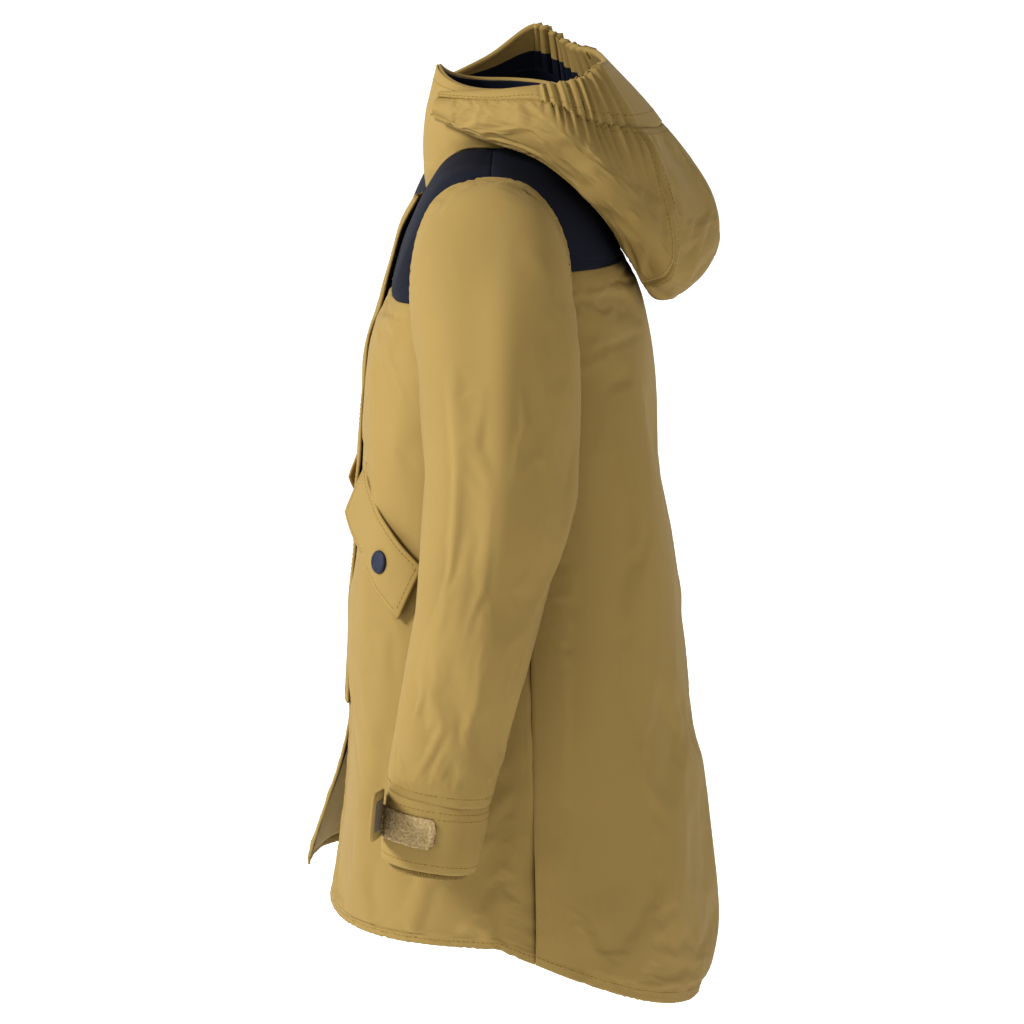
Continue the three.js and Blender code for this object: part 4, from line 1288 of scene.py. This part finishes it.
def make_pockets():
    flap = Grid(pocket_surface, 90, 44)
    seam_dip(flap, top=1.2, bottom=0.5, left=0.5, right=0.5, width=4)
    flap.lift(flap_lift(flap.u, flap.v) + 0.5 * unevenness(flap.points, 40, 17))
    sewn, below = pocket_surface(np.array([0.5, 0.5]), np.array([0.0, 0.3]))
    pouch = Grid(pouch_surface, 60, 90)
    welts = [Grid(part(pocket_surface, 0.08, 0.92, v, v + 0.08), 60, 6).lift(1.3) for v in (0.15, 0.43)]
    ends = [Grid(part(pocket_surface, u, u + 0.03, 0.16, 0.5), 4, 16).lift(1.2) for u in (0.08, 0.89)]
    u, v = SNAP_PLACE
    spot = Grid(part(pocket_surface, u - 0.01, u + 0.01, v - 0.01, v + 0.01), 2, 2)
    middle, normal = spot.points[4], spot.base_normals[4]
    for side, sign in SIDES:
        cloth = sided(flap, sign)
        piece = Piece(f"pocket_flap_{side}").slab(cloth, THICK["pocket_flap"])
        for row in (3, -4):
            piece.stitches(cloth.line(row=row, start=0.05, end=0.95))
        for column in (3, -4):
            piece.stitches(cloth.line(column=column, start=0.08, end=0.9))
        mirrored_blend(piece.build("shell"), "coat", f"pocket_flap_{side}", sign,
                       sewn / 1000, below / 1000)
        bag = Piece(f"pocket_bag_{side}").slab(sided(pouch, sign), THICK["lining"]).cut_from(pouch)
        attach(bag.build("lining"), "coat")
        trim = Piece(f"pocket_welt_{side}")
        for strip in welts + ends:
            trim.slab(sided(strip, sign), THICK["welt"])
        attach(trim.build("shell", replaces=False), "coat")
        place, out = middle * [sign, 1, 1], normal * [sign, 1, 1]
        make_snap_part("cap", place + out * 5.2, out, "snap", f"pocket_flap_{side}")
        make_snap_part("socket", place + out * 2.1, out, "metal", f"pocket_flap_{side}")
        make_snap_part("stud", place + out * 0.4, out, "metal", "coat")


def pouch_surface(u, v):
    """The pocket bag as one folded sheet: down its front, round its foot and up its back."""
    path_v = np.interp(v, [0, 0.42, 0.5, 0.95, 1], [0.46, 1.8, 1.86, 0.14, 0.19])
    depth = np.interp(v, [0, 0.42, 0.5, 0.58, 0.93, 1], [4.6, 4.8, 9, 13, 12.5, 4.8])
    pinch = np.sqrt(np.clip(np.sin(np.pi * np.clip(u, 0.001, 0.999)) * 3, 0, 1))
    depth = lerp(9, depth, pinch)
    across = lerp(0.02, 0.98, u)
    step = 1e-3
    here = pocket_surface(across, path_v)
    du = pocket_surface(across + step, path_v) - pocket_surface(across - step, path_v)
    dv = pocket_surface(across, path_v + step) - pocket_surface(across, path_v - step)
    normal = np.cross(dv, du)
    normal /= np.linalg.norm(normal, axis=1, keepdims=True)
    return here - normal * depth[:, None]


# ---------------------------------------------------------------- hood


def gather_window(u):
    side = np.minimum(u, 1 - u)
    return smoothstep(side, 0.185, 0.225) * (1 - smoothstep(side, 0.36, 0.43))


def gathers(grid, v_from, v_to, amplitude):
    """Radial pleats where the elastic draws the rim in."""
    wide, _ = grid.size
    run = grid.u * grid.across * wide
    pleats = np.sin(run / 1.55 + 1.3 * np.sin(run / 7.0)) + 0.5 * np.sin(run / 0.9 + 2)
    fade = 1 - smoothstep(grid.v, v_from, v_to)
    return amplitude * gather_window(grid.u) * fade * pleats


def make_hood_bag():
    across = 260
    seams = (HOOD_SEAM_COLUMN, across - HOOD_SEAM_COLUMN)
    bag = Grid(part(hood_surface, 0, 1, HOOD_BAND, HOOD_FOLD), across, 100)
    bag.lift(2.5 * np.sin(np.pi * np.clip(bag.v * 1.05, 0, 1)))
    bag.lift(gathers(bag, 0.0, 0.34, 1.9))
    folds(bag, np.where(bag.points[:, 0] > 12, 1.0, 0.0), [
        ([(62, 36), (92, 0), (122, -40)], 9, 3.0),
        ([(40, 20), (70, -20), (96, -62)], 10, 2.4),
        ([(110, -86), (124, -60), (136, -44)], 8, -2.4),
    ])
    bag.lift(1.8 * unevenness(bag.points, 70, 41))
    for column in seams:
        away = (bag.u - column / across) * across * bag.size[0]
        seam = 2.4 * np.exp(-(away / 9) ** 2) - 2.0 * np.exp(-(away / 1.8) ** 2)
        bag.lift(seam * smoothstep(bag.v, 0, 0.1) * (1 - smoothstep(bag.v, 0.84, 0.92)))
    bag.lift(1.6 * np.exp(-((bag.v - 0.88) / 0.03) ** 2) - 1.4 * np.exp(-((bag.v - 0.9) / 0.008) ** 2))
    held = edge_hold(bag, top=0.7, bottom=0.8, sides=1, reach=0.05)
    settle(bag, np.maximum(held, 0.05), slack=0.02, cap=5.0, pressure=2.0)
    piece = Piece("hood_shell").slab(bag, THICK["shell"])
    piece.stitches(bag.line(row=3))
    for column in seams:
        for aside in (-2, 2):
            piece.stitches(bag.line(column=column + aside, start=0.02, end=0.86))
    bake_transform(piece.build("shell"))
    root = Grid(part(hood_surface, 0, 1, HOOD_FOLD, 1), across, 50)
    piece = Piece("hood_underside").slab(root, THICK["shell"])
    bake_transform(piece.build("shell", replaces=False))


def make_hood_lining():
    inner = Grid(part(hood_surface, 0.005, 0.995, HOOD_BAND - 0.015, HOOD_FOLD), 200, 60)
    inner.lift(-LINING_DEPTH["hood"] + 0.7 * unevenness(inner.points, 35, 44))
    piece = Piece("hood_lining").slab(inner, THICK["soft_lining"]).cut_from(inner)
    piece.stitches(inner.line(row=2))
    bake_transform(piece.build("lining"))
    low = Grid(part(hood_surface, 0.005, 0.995, HOOD_FOLD, 1), 200, 36).lift(-LINING_DEPTH["hood"])
    piece = Piece("hood_lining_underside").slab(low, THICK["soft_lining"]).cut_from(low)
    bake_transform(piece.build("lining", replaces=False))


def make_hood_band():
    band = Grid(part(hood_surface, 0, 1, 0, HOOD_BAND - 0.004), 300, 22)
    band.lift(0.6 + 1.4 * np.sqrt(np.sin(np.pi * np.clip(band.v, 0.02, 0.98))))
    band.lift(gathers(band, 0.9, 3.0, 1.5))
    piece = Piece("hood_band").slab(band, THICK["hood_band"])
    number = band.across * band.down
    lined = np.repeat(np.arange(band.down), band.across) > BAND_FACING * band.down
    piece.finishes[-1][number:2 * number] = np.where(lined, 2, 0)
    piece.stitches(band.line(row=-5))
    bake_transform(piece.build("shell", [SHELL, SEWING, LINING]))
    for side, start in (("left", 0.23), ("right", 0.68)):
        tape = Grid(part(hood_surface, start, start + 0.09, 0.03, 0.08), 80, 6)
        run = tape.u * tape.across * tape.size[0]
        tape.lift(-0.6 + 0.35 * np.sin(run / 1.2))
        obj = Piece(f"hood_elastic_{side}").slab(tape, THICK["elastic"]).build("elastic")
        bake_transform(obj)


# ---------------------------------------------------------------- the coat

make_fronts()
make_yokes()
make_back()
make_linings()
make_padding()
make_sleeves()
make_tabs()
make_collar()
make_hang_loop()
make_zip()
make_storm_flap()
make_pockets()
make_hood_bag()
make_hood_lining()
make_hood_band()

for node in ("zip_slider", "zip_pull"):
    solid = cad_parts[node]
    solid.data.materials.clear()
    solid.data.materials.append(STEEL)
